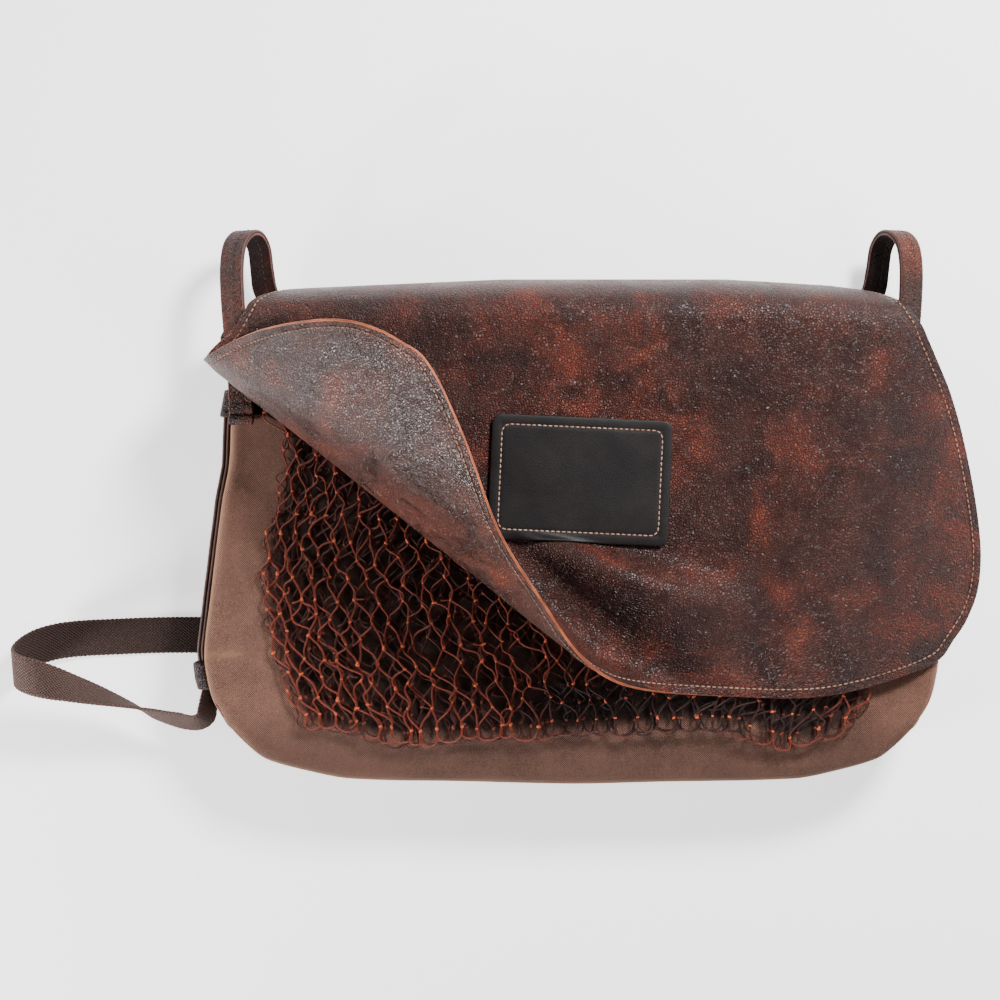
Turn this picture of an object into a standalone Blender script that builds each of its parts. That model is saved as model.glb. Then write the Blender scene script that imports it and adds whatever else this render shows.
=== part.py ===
"""Hunting game bag, lying on its back with the flap's lower left corner rolled over.

Frame, in metres: +X to the right seen from the front, +Y towards the mouth, +Z out of the front.
The back lies in the plane Z = 0, and the origin is the middle of the back.
"""

import math

import bmesh
import bpy
from mathutils import Vector

# Walls and gaps
CANVAS = 0.0018
LEATHER = 0.0030
GAP = 0.0003

# Body: half of its outline from the top of the back panel down to the middle of the bottom
BACK_TOP = (  # half width, y
    (0.1760, 0.1310),
    (0.1845, 0.1150),
    (0.1925, 0.0930),
)
BODY_SIDE = (  # half width, y, from the mouth of the front panel down
    (0.1972, 0.0680),
    (0.1985, 0.0400),
    (0.2024, 0.0190),
    (0.2093, -0.0370),
    (0.2129, -0.0690),
    (0.2112, -0.0845),
    (0.2077, -0.0973),
    (0.1996, -0.1110),
    (0.1856, -0.1246),
    (0.1763, -0.1310),
    (0.1507, -0.1380),
    (0.1287, -0.1420),
    (0.0530, -0.1438),
    (0.0000, -0.1449),
)
CORNER_ROW = 7
RIM_Z = 0.052
DOME = 0.016
GUSSET_BULGE = 0.0015
GUSSET_TOP = 0.1180
SEAM_ROOM = 0.0010
DENTS = (  # x, y, half length along x, half length along y, height
    (-0.170, 0.010, 0.026, 0.055, -0.0035),
    (-0.150, -0.085, 0.045, 0.030, -0.0025),
    (-0.192, -0.070, 0.018, 0.010, 0.0020),
    (0.060, -0.120, 0.070, 0.018, -0.0020),
    (0.185, -0.100, 0.022, 0.030, -0.0025),
    (0.010, 0.020, 0.080, 0.060, -0.0015),
)

# Waist strap: webbing that lies on the floor behind the back panel
WEBBING_WIDTH = 0.0208
WEBBING = 0.0018
STRAP_Y = -0.062
STRAP_LIFT = 0.0026
STRAP_ROWS = (  # x, y, z, azimuth and elevation of the width, in degrees
    (0.2167, -0.0620, 0.0187, 90, 0),
    (0.2167, -0.0620, 0.0120, 90, 0),
    (0.2166, -0.0620, 0.0055, 90, 0),
    (0.2155, -0.0620, 0.0024, 90, 0),
    (0.2128, -0.0620, 0.0011, 90, 0),
    (0.2080, -0.0620, 0.0010, 90, 0),
    (0.1900, -0.0620, 0.0010, 90, 0),
    (0.1000, -0.0620, 0.0010, 90, 0),
    (0.0000, -0.0620, 0.0010, 90, 0),
    (-0.1000, -0.0620, 0.0010, 90, 0),
    (-0.1900, -0.0620, 0.0010, 90, 0),
    (-0.2215, -0.0620, 0.0010, 90, 0),
    (-0.2500, -0.0622, 0.0010, 90, 0),
    (-0.2760, -0.0632, 0.0012, 91, 0),
    (-0.2930, -0.0640, 0.0018, 92, 0),
    (-0.3070, -0.0655, 0.0042, 93, 0),
    (-0.3180, -0.0684, 0.0085, 95, 0),
    (-0.3246, -0.0718, 0.0140, 95, 0),
    (-0.3286, -0.0756, 0.0205, 95, 0),
    (-0.3295, -0.0788, 0.0270, 95, 0),
    (-0.3262, -0.0815, 0.0335, 94, -2),
    (-0.3190, -0.0838, 0.0385, 92, -8),
    (-0.3100, -0.0861, 0.0400, 86, -22),
    (-0.2950, -0.0906, 0.0380, 78, -47),
    (-0.2784, -0.0959, 0.0335, 73, -67),
    (-0.2588, -0.1025, 0.0285, 72, -92),
    (-0.2467, -0.1072, 0.0265, 74, -110),
    (-0.2310, -0.1112, 0.0265, 80, -120),
    (-0.2215, -0.1124, 0.0270, 105, -118),
    (-0.2160, -0.1094, 0.0275, 140, -116),
    (-0.2146, -0.1035, 0.0280, 170, -113),
    (-0.2150, -0.0975, 0.0285, 180, -102),
    (-0.2153, -0.0922, 0.0290, 180, -92),
    (-0.2156, -0.0842, 0.0290, 180, -90),
)

# Side straps: double leather down the gusset's sides, seen on edge from the front
SIDE_STRAP = 0.0042
SIDE_STRAP_WIDTH = 0.0200
SIDE_STRAP_Z = 0.0290
SIDE_STRAP_TOP = 0.1215
SIDE_STRAP_OFF = 0.0007
SIDE_STRAP_EYE = 0.0022
SIDE_STRAP_EYE_Y = 0.1155
SIDE_STRAP_FLARE = 0.0125
SIDE_STRAP_FLARE_Y = 0.0840
SIDE_STRAPS = (  # name, side, y of its lower end
    ("side_strap_left", -1, -0.0838),
    ("side_strap_right", 1, -0.0735),
)
KEEPER = 0.0020
KEEPER_ROOM = 0.0009
KEEPER_LENGTH = 0.0138
KEEPERS = (  # name, side, y of its middle, how far its face stands off the strap
    ("keeper_upper_left", -1, 0.0760, 0.0012),
    ("keeper_upper_right", 1, 0.0760, 0.0012),
    ("keeper_lower_left", -1, -0.0838, 0.0030),
    ("keeper_lower_right", 1, -0.0440, 0.0012),
)

# Leather loops: one band from the front panel's top corner over a crown to the back panel
LOOP_BAND = 0.0130
LOOP_THICK = 0.0036
LOOP_LEAN = 9.0
LOOP_TILT = 24.5
LOOP_ROWS = (  # half width, y, z of the band's middle, from the front end to the back end
    (0.1912, 0.0640, 0.0562),
    (0.1913, 0.0760, 0.0552),
    (0.1925, 0.0950, 0.0540),
    (0.1950, 0.1150, 0.0520),
    (0.1972, 0.1380, 0.0495),
    (0.1977, 0.1560, 0.0480),
    (0.1962, 0.1690, 0.0440),
    (0.1920, 0.1757, 0.0375),
    (0.1880, 0.1757, 0.0280),
    (0.1848, 0.1690, 0.0215),
    (0.1834, 0.1560, 0.0175),
    (0.1820, 0.1450, 0.0140),
    (0.1775, 0.1350, 0.0095),
    (0.1735, 0.1270, 0.0079),
    (0.1725, 0.1190, 0.0078),
)

# Flap: one cut of double leather, its lower left corner rolled about a cone
FLAP_AXIS = -0.0017
FLAP_SIDE = (  # half width, y, from the turn over the ridge down to the middle of the bottom
    (0.2010, 0.1180),
    (0.2080, 0.1020),
    (0.2176, 0.0792),
    (0.2257, 0.0513),
    (0.2310, 0.0268),
    (0.2345, 0.0060),
    (0.2360, -0.0143),
    (0.2340, -0.0339),
    (0.2274, -0.0502),
    (0.2194, -0.0616),
    (0.2109, -0.0724),
    (0.1847, -0.0830),
    (0.1522, -0.0912),
    (0.1277, -0.0935),
    (0.0866, -0.0923),
    (0.0540, -0.0912),
    (0.0000, -0.0910),
)
FLAP_CORNER_ROW = 9
FLAP_Z = 0.0735
FLAP_BACK_Z = 0.0015
FLAP_BACK_Y = 0.1040
RIDGE = (  # x, y of the ridge that the flap turns over
    (-0.176, 0.1430),
    (-0.040, 0.1490),
    (0.090, 0.1490),
    (0.152, 0.1455),
    (0.200, 0.1400),
)
RIDGE_TURN = (  # share of the reach out to the ridge, share of the height, half width
    (0.20, 0.995, 0.1985),
    (0.40, 0.975, 0.1958),
    (0.62, 0.930, 0.1930),
    (0.82, 0.820, 0.1868),
    (0.95, 0.650, 0.1800),
    (1.00, 0.470, 0.1760),
    (0.98, 0.280, 0.1725),
    (0.90, 0.130, 0.1705),
    (0.76, 0.035, 0.1690),
    (0.58, 0.000, 0.1680),
)
TUCK = 0.0100
TUCK_FROM = 0.1010
TUCK_TO = 0.1115
DROP_FROM = 0.090
DROP_OVER = 0.145
DROP_RIGHT = 0.018
DROP_LEFT = 0.008
DROP_BOTTOM = 0.0025
RIGHT_SPREAD = 0.003
ROLL_APEX = Vector((-0.2312, 0.1164))
ROLL_START = -32.27
ROLL_BEND = (  # degrees past the start line, bend
    (0.0, 9.4),
    (6.9, 10.0),
    (17.2, -1.24),
    (28.6, 2.82),
    (45.8, -0.47),
    (68.8, -8.8),
)
ROLL_STEP = math.radians(0.25)
ROLL_STEPS = 400
FOLD_APEX = Vector((-0.0450, 0.0060))
FOLD_TURN = (  # degrees round the apex, share of the fold's height: trough, crest, patch
    (-68.0, 0.00),
    (-60.0, -0.12),
    (-53.0, -0.38),
    (-47.0, -0.34),
    (-41.0, 0.00),
    (-34.0, 0.55),
    (-28.0, 0.90),
    (-23.0, 1.00),
    (-19.0, 0.84),
    (-15.5, 0.42),
    (-12.5, 0.10),
    (-10.0, 0.00),
)
FOLD_REACH = (  # distance from the apex, height of the fold
    (0.012, 0.0000),
    (0.030, 0.0050),
    (0.050, 0.0110),
    (0.070, 0.0140),
    (0.095, 0.0145),
    (0.120, 0.0105),
    (0.150, 0.0045),
    (0.175, 0.0000),
)

# Patch on the flap
PATCH_WIDTH = 0.1020
PATCH_HEIGHT = 0.0705
PATCH_CORNER = 0.0045
PATCH_THICK = 0.0026
PATCH_OFF = 0.0014
PATCH_AT = Vector((0.0040, 0.0308))
PATCH_TURN = -2.6

# Net pocket: knots in rows over the canvas front
NET_CORD = 0.0030
NET_OFF = 0.0007
NET_ROWS = 12
NET_COLUMNS = 11
NET_SIDE = (  # y, x of the left edge, x of the right edge
    (0.0700, -0.1790, 0.1700),
    (0.0400, -0.1700, 0.1720),
    (0.0150, -0.1740, 0.1720),
    (-0.0150, -0.1780, 0.1710),
    (-0.0450, -0.1780, 0.1700),
    (-0.0800, -0.1690, 0.1690),
    (-0.1130, -0.1540, 0.1600),
)
NET_TOP = 0.0690
NET_BOTTOM = -0.1150


def clear_scene():
    for thing in list(bpy.data.objects):
        bpy.data.objects.remove(thing)


def new_material(name, red, green, blue, roughness):
    """A Principled material with this colour, dull and not metallic."""
    material = bpy.data.materials.new(name)
    material.use_nodes = True
    shader = material.node_tree.nodes["Principled BSDF"]
    shader.inputs["Base Color"].default_value = (red, green, blue, 1)
    shader.inputs["Roughness"].default_value = roughness
    return material


def ease(share):
    """From 0 to 1 with level ends, and flat outside."""
    share = min(max(share, 0.0), 1.0)
    return share * share * (3 - 2 * share)


def between(rows, at, column=1):
    """A column of a table, at a value between those in its first column."""
    if at <= rows[0][0]:
        return rows[0][column]
    for low, high in zip(rows, rows[1:]):
        if at <= high[0]:
            share = (at - low[0]) / (high[0] - low[0])
            return low[column] + share * (high[column] - low[column])
    return rows[-1][column]


def through(points):
    """A smooth curve through these points, as a function of the share of its length."""
    points = [Vector(point) for point in points]
    marks = [0.0]
    for start, end in zip(points, points[1:]):
        marks.append(marks[-1] + (end - start).length)

    def slope(i):
        low, high = max(i - 1, 0), min(i + 1, len(points) - 1)
        return (points[high] - points[low]) / (marks[high] - marks[low])

    def at(share):
        along = min(max(share, 0.0), 1.0) * marks[-1]
        i = 0
        while i < len(points) - 2 and along > marks[i + 1]:
            i += 1
        span = marks[i + 1] - marks[i]
        t = (along - marks[i]) / span
        return (
            points[i] * (2 * t**3 - 3 * t**2 + 1)
            + slope(i) * span * (t**3 - 2 * t**2 + t)
            + points[i + 1] * (3 * t**2 - 2 * t**3)
            + slope(i + 1) * span * (t**3 - t**2)
        )

    return at


def panel(top, side_rows, corner_row, axis=0.0, tuck=lambda y: 0.0):
    """Fills a mirrored outline with a grid: returns a function from shares across and down to x, y."""
    right = through([(axis + x, y) for x, y in side_rows[: corner_row + 1]])
    left = through([(axis - x + tuck(y), y) for x, y in side_rows[: corner_row + 1]])
    low = side_rows[corner_row:]
    bottom = through(
        [(axis - x, y) for x, y in low] + [(axis + x, y) for x, y in reversed(low[:-1])]
    )

    def at(u, v):
        corners = (
            left(0) * (1 - u) * (1 - v)
            + right(0) * u * (1 - v)
            + left(1) * (1 - u) * v
            + right(1) * u * v
        )
        return left(v) * (1 - u) + right(v) * u + top(u) * (1 - v) + bottom(u) * v - corners

    return at


def new_sheet(name, grid, thick, material, collection, side=0.0):
    """A wall on a grid of points. side is 1 to thicken it towards its normals, -1 away from them."""
    mesh = bpy.data.meshes.new(name)
    columns = len(grid[0])
    corners = [point for row in grid for point in row]
    faces = [
        (
            i * columns + j,
            i * columns + j + 1,
            (i + 1) * columns + j + 1,
            (i + 1) * columns + j,
        )
        for i in range(len(grid) - 1)
        for j in range(columns - 1)
    ]
    mesh.from_pydata(corners, [], faces)
    sheet = bpy.data.objects.new(name, mesh)
    collection.objects.link(sheet)
    wall = sheet.modifiers.new("Wall", "SOLIDIFY")
    wall.thickness = thick
    wall.offset = side
    wall.use_even_offset = True
    mesh.materials.append(material)
    mesh.shade_smooth()
    return sheet


def steps(count):
    return [i / count for i in range(count + 1)]


# The body's outline and its front and back surfaces


def body_half_width(y):
    rows = sorted((row_y, x) for x, row_y in BODY_SIDE + BACK_TOP)
    return max(between(rows, y), 0.0001)


def front_z(x, y):
    """Height of the canvas front: a shallow dome with soft dents."""
    across = min(abs(x) / body_half_width(y), 1.0)
    down = min(max(-y, 0.0) / -BODY_SIDE[-1][1], 1.0)
    fullness = (1 - across**3) * (1 - down**4)
    z = RIM_Z + DOME * fullness
    for dent_x, dent_y, half_x, half_y, height in DENTS:
        away = ((x - dent_x) / half_x) ** 2 + ((y - dent_y) / half_y) ** 2
        z += height * math.exp(-away) * min(fullness * 4, 1.0)
    return z


def back_lift(y):
    """How far the back panel stands off the floor, over the waist strap and the flap's seam."""
    off_strap = abs(y - STRAP_Y) - WEBBING_WIDTH / 2
    over_strap = 1 - ease((off_strap - 0.0080) / 0.016)
    over_seam = ease((y - FLAP_BACK_Y + 0.016) / 0.011)
    return STRAP_LIFT * over_strap + (LEATHER + GAP) * over_seam


def make_canvas_front(material, collection):
    across = BODY_SIDE[0][0]
    top = through([(-across, BODY_SIDE[0][1]), (0.0, BODY_SIDE[0][1] - 0.003), (across, BODY_SIDE[0][1])])
    at = panel(top, BODY_SIDE, CORNER_ROW)
    grid = []
    for v in reversed(steps(11)):
        points = [at(u, v) for u in steps(20)]
        grid.append([(p.x, p.y, front_z(p.x, p.y)) for p in points])
    return new_sheet("canvas_front", grid, CANVAS, material, collection, side=-1)


def back_outline():
    return BACK_TOP + BODY_SIDE


def make_canvas_back(material, collection):
    rows = back_outline()
    top = through([(-rows[0][0], rows[0][1]), (0.0, rows[0][1]), (rows[0][0], rows[0][1])])
    at = panel(top, rows, CORNER_ROW + len(BACK_TOP))
    grid = []
    for v in reversed(steps(26)):
        points = [at(u, v) for u in steps(8)]
        grid.append([(p.x, p.y, back_lift(p.y)) for p in points])
    return new_sheet("canvas_back", grid, CANVAS, material, collection, side=1)


def rim_from(top_y):
    """The body's outline from this height on the left, round the bottom, to the right."""
    rows = [(body_half_width(top_y), top_y)]
    rows += [(x, y) for x, y in back_outline() if y < top_y - 0.004]
    return through([(-x, y) for x, y in rows] + [(x, y) for x, y in reversed(rows[:-1])])


def make_canvas_gusset(material, collection):
    """The strip between the two panels. Its ends slant from the front's mouth to the back's top."""
    widths = steps(3)
    rims = [rim_from(GUSSET_TOP + w * (BODY_SIDE[0][1] - GUSSET_TOP)) for w in widths]
    grid = []
    for s in steps(46):
        row = []
        for w, rim in zip(widths, rims):
            spot = rim(s)
            outward = Vector((spot.x, spot.y * 0.7)).normalized()
            spot += outward * GUSSET_BULGE * (4 * w * (1 - w))
            low = back_lift(spot.y) + CANVAS + SEAM_ROOM
            high = front_z(spot.x, spot.y) - CANVAS - SEAM_ROOM
            row.append((spot.x, spot.y, low + w * (high - low)))
        grid.append(row)
    return new_sheet("canvas_gusset", grid, CANVAS, material, collection, side=1)


# Flap


def roll_directions():
    """Unit directions out of the cone's apex, one for each small step past the start line.

    The sheet isn't stretched: each step turns the direction by the same angle as on the flat
    leather, and the bend turns the path out of the plane.
    """
    direction = Vector((1, 0, 0))
    heading = Vector((0, 1, 0))
    found = [direction.copy()]
    for i in range(ROLL_STEPS):
        bend = between(ROLL_BEND, math.degrees(i * ROLL_STEP))
        turning = direction.cross(heading) * bend - direction
        angle = turning.length * ROLL_STEP
        turned = heading * math.cos(angle) + turning.normalized() * math.sin(angle)
        direction = (direction + (heading + turned) * (ROLL_STEP / 2)).normalized()
        heading = (turned - direction * turned.dot(direction)).normalized()
        found.append(direction.copy())
    return found


ROLL = roll_directions()


def flap_drop(x, y):
    """How far the flap's edges sink below its middle."""
    reach = ease((abs(x) - DROP_FROM) / DROP_OVER / 1.4) * 1.4
    side = DROP_RIGHT if x > 0 else DROP_LEFT
    low = min(max((-0.010 - y) / 0.083, 0.0), 1.0)
    return side * reach * reach + DROP_BOTTOM * low * low


def flap_point(x, y):
    """A point of the flap's middle surface, for a point of the flat leather."""
    start = math.radians(ROLL_START)
    along = Vector((math.cos(start), math.sin(start)))
    beyond = Vector((along.y, -along.x))
    arm = Vector((x, y)) - ROLL_APEX
    past = math.atan2(arm.dot(beyond), arm.dot(along))
    if past <= 0:
        spread = RIGHT_SPREAD * ease((x - DROP_FROM) / DROP_OVER)
        return Vector((x + spread, y, FLAP_Z - flap_drop(x, y)))
    place = past / ROLL_STEP
    i = min(int(place), ROLL_STEPS - 1)
    way = ROLL[i].lerp(ROLL[i + 1], place - i)
    foot = ROLL_APEX + along * arm.length
    flat = ROLL_APEX + (along * way.x + beyond * way.y) * arm.length
    return Vector((flat.x, flat.y, FLAP_Z - flap_drop(foot.x, foot.y) + way.z * arm.length))


def flap_rise(x, y):
    """How far the fold beside the roll stands off the smooth flap. It fans out from one point."""
    arm = Vector((x, y)) - FOLD_APEX
    turn = math.degrees(math.atan2(arm.y, arm.x))
    height = between(FOLD_REACH, arm.length) * ease((y + 0.0910) / 0.0200)
    share = between(FOLD_TURN, turn)
    if share > 0:
        return share * height
    raised = max(0.0, flap_point(x, y).z - FLAP_Z)
    return -min(-share * height, 0.8 * raised)


def flap_surface(x, y):
    """The flap's middle surface with the fold."""
    return flap_point(x, y) + Vector((0, 0, flap_rise(x, y)))


def tuck(y):
    """The flap's left edge is drawn in above the roll."""
    return TUCK * ease((y - TUCK_FROM) / (TUCK_TO - TUCK_FROM))


def make_flap(material, collection):
    turn_y = FLAP_SIDE[0][1]
    half = FLAP_SIDE[0][0]
    top = through(
        [
            (FLAP_AXIS - half + tuck(turn_y), turn_y),
            (FLAP_AXIS, turn_y),
            (FLAP_AXIS + half, turn_y),
        ]
    )
    at = panel(top, FLAP_SIDE, FLAP_CORNER_ROW, FLAP_AXIS, tuck)
    count = 34
    grid = []
    for v in reversed(steps(22)):
        points = [at(u, v) for u in steps(count)]
        grid.append([flap_surface(p.x, p.y) for p in points])
    for reach, height, half_width in RIDGE_TURN:
        row = []
        for u in steps(count):
            start = at(u, 0)
            front = flap_point(start.x, start.y)
            x = FLAP_AXIS + (start.x - FLAP_AXIS) * half_width / half
            x += (front.x - start.x) * height
            y = turn_y + (between(RIDGE, x) - LEATHER / 2 - turn_y) * reach
            row.append((x, y, FLAP_BACK_Z + (front.z - FLAP_BACK_Z) * height))
        grid.append(row)
    grid.append([(x, FLAP_BACK_Y, z) for x, y, z in grid[-1]])
    return new_sheet("leather_flap", grid, LEATHER, material, collection)


def make_patch(material, collection):
    """A plate with round corners that lies on the flap."""
    turn = math.radians(PATCH_TURN)
    grid = []
    for v in steps(8):
        row = []
        down = 2 * v - 1
        for u in steps(12):
            across = 2 * u - 1
            x = across * PATCH_WIDTH / 2
            y = down * PATCH_HEIGHT / 2
            inset = PATCH_CORNER * 0.42
            near = max(0.0, abs(across) - 0.8) / 0.2 * max(0.0, abs(down) - 0.8) / 0.2
            x -= math.copysign(inset * near, x)
            y -= math.copysign(inset * near, y)
            spot = PATCH_AT + Vector(
                (
                    x * math.cos(turn) - y * math.sin(turn),
                    x * math.sin(turn) + y * math.cos(turn),
                )
            )
            under = flap_surface(spot.x, spot.y)
            row.append((under.x, under.y, under.z + LEATHER / 2 + PATCH_OFF))
        grid.append(row)
    return new_sheet("patch", grid, PATCH_THICK, material, collection, side=1)


# Net


def net_point(column, row):
    """The place of a knot: rows half a mesh apart, from the net's top down."""
    v = row / NET_ROWS
    y = NET_TOP + v * (NET_BOTTOM - NET_TOP)
    rows = tuple(reversed(NET_SIDE))
    left = between(rows, y, 1)
    right = between(rows, y, 2)
    u = column / (2 * NET_COLUMNS)
    x = left + u * (right - left)
    scallop = 0.0
    if row == NET_ROWS:
        scallop = 0.0030 * math.sin(column * 1.9)
    y += scallop + 0.0012 * math.sin(column * 2.3 + row * 1.1)
    x += 0.0012 * math.sin(column * 1.3 - row * 2.1)
    return Vector((x, y, front_z(x, y) + NET_OFF + NET_CORD / 2))


def make_net(material, collection):
    """Diamonds between knots, left as cords by a Wireframe modifier."""
    mesh = bmesh.new()
    knots = {}
    for row in range(NET_ROWS + 1):
        for column in range(row % 2, 2 * NET_COLUMNS + 1, 2):
            knots[column, row] = mesh.verts.new(net_point(column, row))
    for row in range(NET_ROWS - 1):
        for column in range(2 - row % 2, 2 * NET_COLUMNS, 2):
            corners = [(column, row + 2), (column + 1, row + 1), (column, row), (column - 1, row + 1)]
            if all(corner in knots for corner in corners):
                mesh.faces.new([knots[corner] for corner in corners])
    data = bpy.data.meshes.new("game_net")
    loose = [knot for knot in mesh.verts if not knot.link_faces]
    bmesh.ops.delete(mesh, geom=loose)
    mesh.to_mesh(data)
    mesh.free()
    net = bpy.data.objects.new("game_net", data)
    collection.objects.link(net)
    cords = net.modifiers.new("Cords", "WIREFRAME")
    cords.thickness = NET_CORD
    cords.use_boundary = True
    cords.use_even_offset = False
    data.materials.append(material)
    return net


# Loops, side straps and keepers


def band(rows, width, thick, name, material, collection, side=0.0):
    """A flat strap: rows of middle point and the direction of its width."""
    grid = [[spot - across * (width / 2), spot + across * (width / 2)] for spot, across in rows]
    return new_sheet(name, grid, thick, material, collection, side)


def make_loop(name, hand, material, collection):
    route = through([(hand * x, y, z) for x, y, z in LOOP_ROWS])
    rows = []
    for s in steps(25):
        lean = LOOP_LEAN + (LOOP_TILT - LOOP_LEAN) * ease((s - 0.06) / 0.30)
        lean = math.radians(lean * (1 - ease((s - 0.76) / 0.16)))
        rows.append((route(s), Vector((math.cos(lean), 0, -hand * math.sin(lean)))))
    return band(rows, LOOP_BAND, LOOP_THICK, name, material, collection)


def wall_x(y):
    """The gusset's outer wall on its right side, at the height of the side straps."""
    return body_half_width(y) + GUSSET_BULGE


def make_side_strap(name, hand, end_y, material, collection):
    middle = SIDE_STRAP_OFF + SIDE_STRAP / 2
    rows = []
    for s in steps(26):
        y = end_y + s * (SIDE_STRAP_TOP - end_y)
        eye = SIDE_STRAP_EYE * math.exp(-(((y - SIDE_STRAP_EYE_Y) / 0.0060) ** 2))
        flare = SIDE_STRAP_FLARE * ease((y - SIDE_STRAP_FLARE_Y) / 0.032)
        x = wall_x(y) + middle + eye + flare
        rows.append((Vector((hand * x, y, SIDE_STRAP_Z)), Vector((0, 0, 1))))
    return band(rows, SIDE_STRAP_WIDTH, SIDE_STRAP, name, material, collection)


def make_keeper(name, hand, y, stand_off, material, collection):
    """A leather band round the strap, open towards the gusset that it is sewn to."""
    inner = 0.0012
    outer = SIDE_STRAP_OFF + SIDE_STRAP + GAP + KEEPER / 2
    half = SIDE_STRAP_WIDTH / 2 + KEEPER_ROOM + KEEPER / 2
    profile = through(
        [
            (inner, -half),
            (outer * 0.8, -half),
            (outer + stand_off * 0.5, -half * 0.90),
            (outer + stand_off, -half * 0.45),
            (outer + stand_off, half * 0.45),
            (outer + stand_off * 0.5, half * 0.90),
            (outer * 0.8, half),
            (inner, half),
        ]
    )
    grid = []
    for v in steps(2):
        at_y = y + (v - 0.5) * KEEPER_LENGTH
        row = []
        for s in steps(12):
            spot = profile(s)
            row.append((hand * (wall_x(at_y) + spot.x), at_y, SIDE_STRAP_Z + spot.y))
        grid.append(row)
    return new_sheet(name, grid, KEEPER, material, collection)


def make_waist_strap(material, collection):
    route = through([row[:3] for row in STRAP_ROWS])
    lengths = [0.0]
    for start, end in zip(STRAP_ROWS, STRAP_ROWS[1:]):
        lengths.append(lengths[-1] + (Vector(end[:3]) - Vector(start[:3])).length)
    turns = [(mark / lengths[-1], row[3], row[4]) for mark, row in zip(lengths, STRAP_ROWS)]
    shares = []
    for start, end in zip(turns, turns[1:]):
        pieces = 1 if end[0] - start[0] > 0.08 else 2
        shares += [start[0] + (end[0] - start[0]) * k / pieces for k in range(pieces)]
    rows = []
    for s in shares + [1.0]:
        azimuth = math.radians(between(turns, s, 1))
        rise = math.radians(between(turns, s, 2))
        across = Vector(
            (
                math.cos(rise) * math.cos(azimuth),
                math.cos(rise) * math.sin(azimuth),
                math.sin(rise),
            )
        )
        rows.append((route(s), across))
    return band(rows, WEBBING_WIDTH, WEBBING, "waist_strap", material, collection)


def main():
    clear_scene()
    bag = bpy.data.collections.new("hunting_game_bag")
    bpy.context.scene.collection.children.link(bag)
    canvas = new_material("waxed_canvas", 0.20, 0.115, 0.075, 0.85)
    flap_leather = new_material("flap_leather", 0.070, 0.024, 0.018, 0.45)
    dark_leather = new_material("dark_leather", 0.020, 0.015, 0.014, 0.50)
    strap_leather = new_material("strap_leather", 0.060, 0.035, 0.032, 0.60)
    net_cord = new_material("net_cord", 0.20, 0.040, 0.015, 0.80)
    webbing = new_material("cotton_webbing", 0.065, 0.035, 0.030, 0.90)
    make_canvas_back(canvas, bag)
    make_canvas_gusset(canvas, bag)
    make_canvas_front(canvas, bag)
    make_net(net_cord, bag)
    make_flap(flap_leather, bag)
    make_patch(dark_leather, bag)
    make_waist_strap(webbing, bag)
    for side, hand in (("left", -1), ("right", 1)):
        make_loop("loop_" + side, hand, flap_leather, bag)
    for name, hand, end_y in SIDE_STRAPS:
        make_side_strap(name, hand, end_y, strap_leather, bag)
    for name, hand, y, stand_off in KEEPERS:
        make_keeper(name, hand, y, stand_off, strap_leather, bag)


main()
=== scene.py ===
# %% [markdown]
# # A hunting game bag in leather, canvas and net
# The bag lies on its back and is seen from straight above. Its flap is one heavy cut of double
# leather whose lower left corner has been rolled over, so the net pocket on the canvas front shows.
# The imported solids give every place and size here, and each soft piece is made again in fine detail
# over them.

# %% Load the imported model
import math

import bpy
import numpy as np
from mathutils import Matrix, Vector, noise


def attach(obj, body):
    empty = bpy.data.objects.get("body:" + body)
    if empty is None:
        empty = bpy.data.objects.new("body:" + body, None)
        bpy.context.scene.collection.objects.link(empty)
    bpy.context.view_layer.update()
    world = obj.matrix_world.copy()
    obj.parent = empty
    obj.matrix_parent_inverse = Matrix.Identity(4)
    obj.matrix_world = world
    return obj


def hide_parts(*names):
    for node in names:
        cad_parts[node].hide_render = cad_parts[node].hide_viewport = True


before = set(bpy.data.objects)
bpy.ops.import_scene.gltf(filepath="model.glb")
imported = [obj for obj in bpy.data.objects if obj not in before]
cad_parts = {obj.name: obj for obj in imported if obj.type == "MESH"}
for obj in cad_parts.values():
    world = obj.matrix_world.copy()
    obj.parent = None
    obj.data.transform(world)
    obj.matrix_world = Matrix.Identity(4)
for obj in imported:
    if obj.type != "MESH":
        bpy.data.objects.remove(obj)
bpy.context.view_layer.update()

# %% [markdown]
# ## Camera
# The bag was photographed from about 1.3 m above with a moderate lens. The camera comes first.

# %% Camera
camera_data = bpy.data.cameras.new("camera")
camera_data.sensor_width = 36
camera_data.lens = 78.95
camera = bpy.data.objects.new("camera", camera_data)
camera.location = (-0.0416, 0.0194, 1.325)
bpy.context.scene.collection.objects.link(camera)
bpy.context.scene.camera = camera
print("camera height:", camera.location.z)

# %% [markdown]
# ## Colours and nodes
# Colours are picked as sRGB hex values and turned to linear, which is what a shader mixes. One
# helper adds any node: its plain settings go by name, and its sockets take a number, a colour or
# another node's output. Every material ends as colours laid over each other by their shares, and a
# height that becomes a bump.

# %% Colour and node helpers
def linear(code):
    """A hex colour as linear red, green, blue and alpha."""
    parts = [int(code[i : i + 2], 16) / 255 for i in (1, 3, 5)]
    parts = [p / 12.92 if p <= 0.04045 else ((p + 0.055) / 1.055) ** 2.4 for p in parts]
    return (*parts, 1.0)


def add(material, kind, sockets=None, out=0, **settings):
    """Adds one node and returns its output. sockets maps an input to a value or an output."""
    node = material.node_tree.nodes.new("ShaderNode" + kind)
    for name, value in settings.items():
        setattr(node, name, value)
    for key, value in (sockets or {}).items():
        if isinstance(value, bpy.types.NodeSocket):
            material.node_tree.links.new(value, node.inputs[key])
        else:
            node.inputs[key].default_value = value
    return node.outputs[out]


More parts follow.
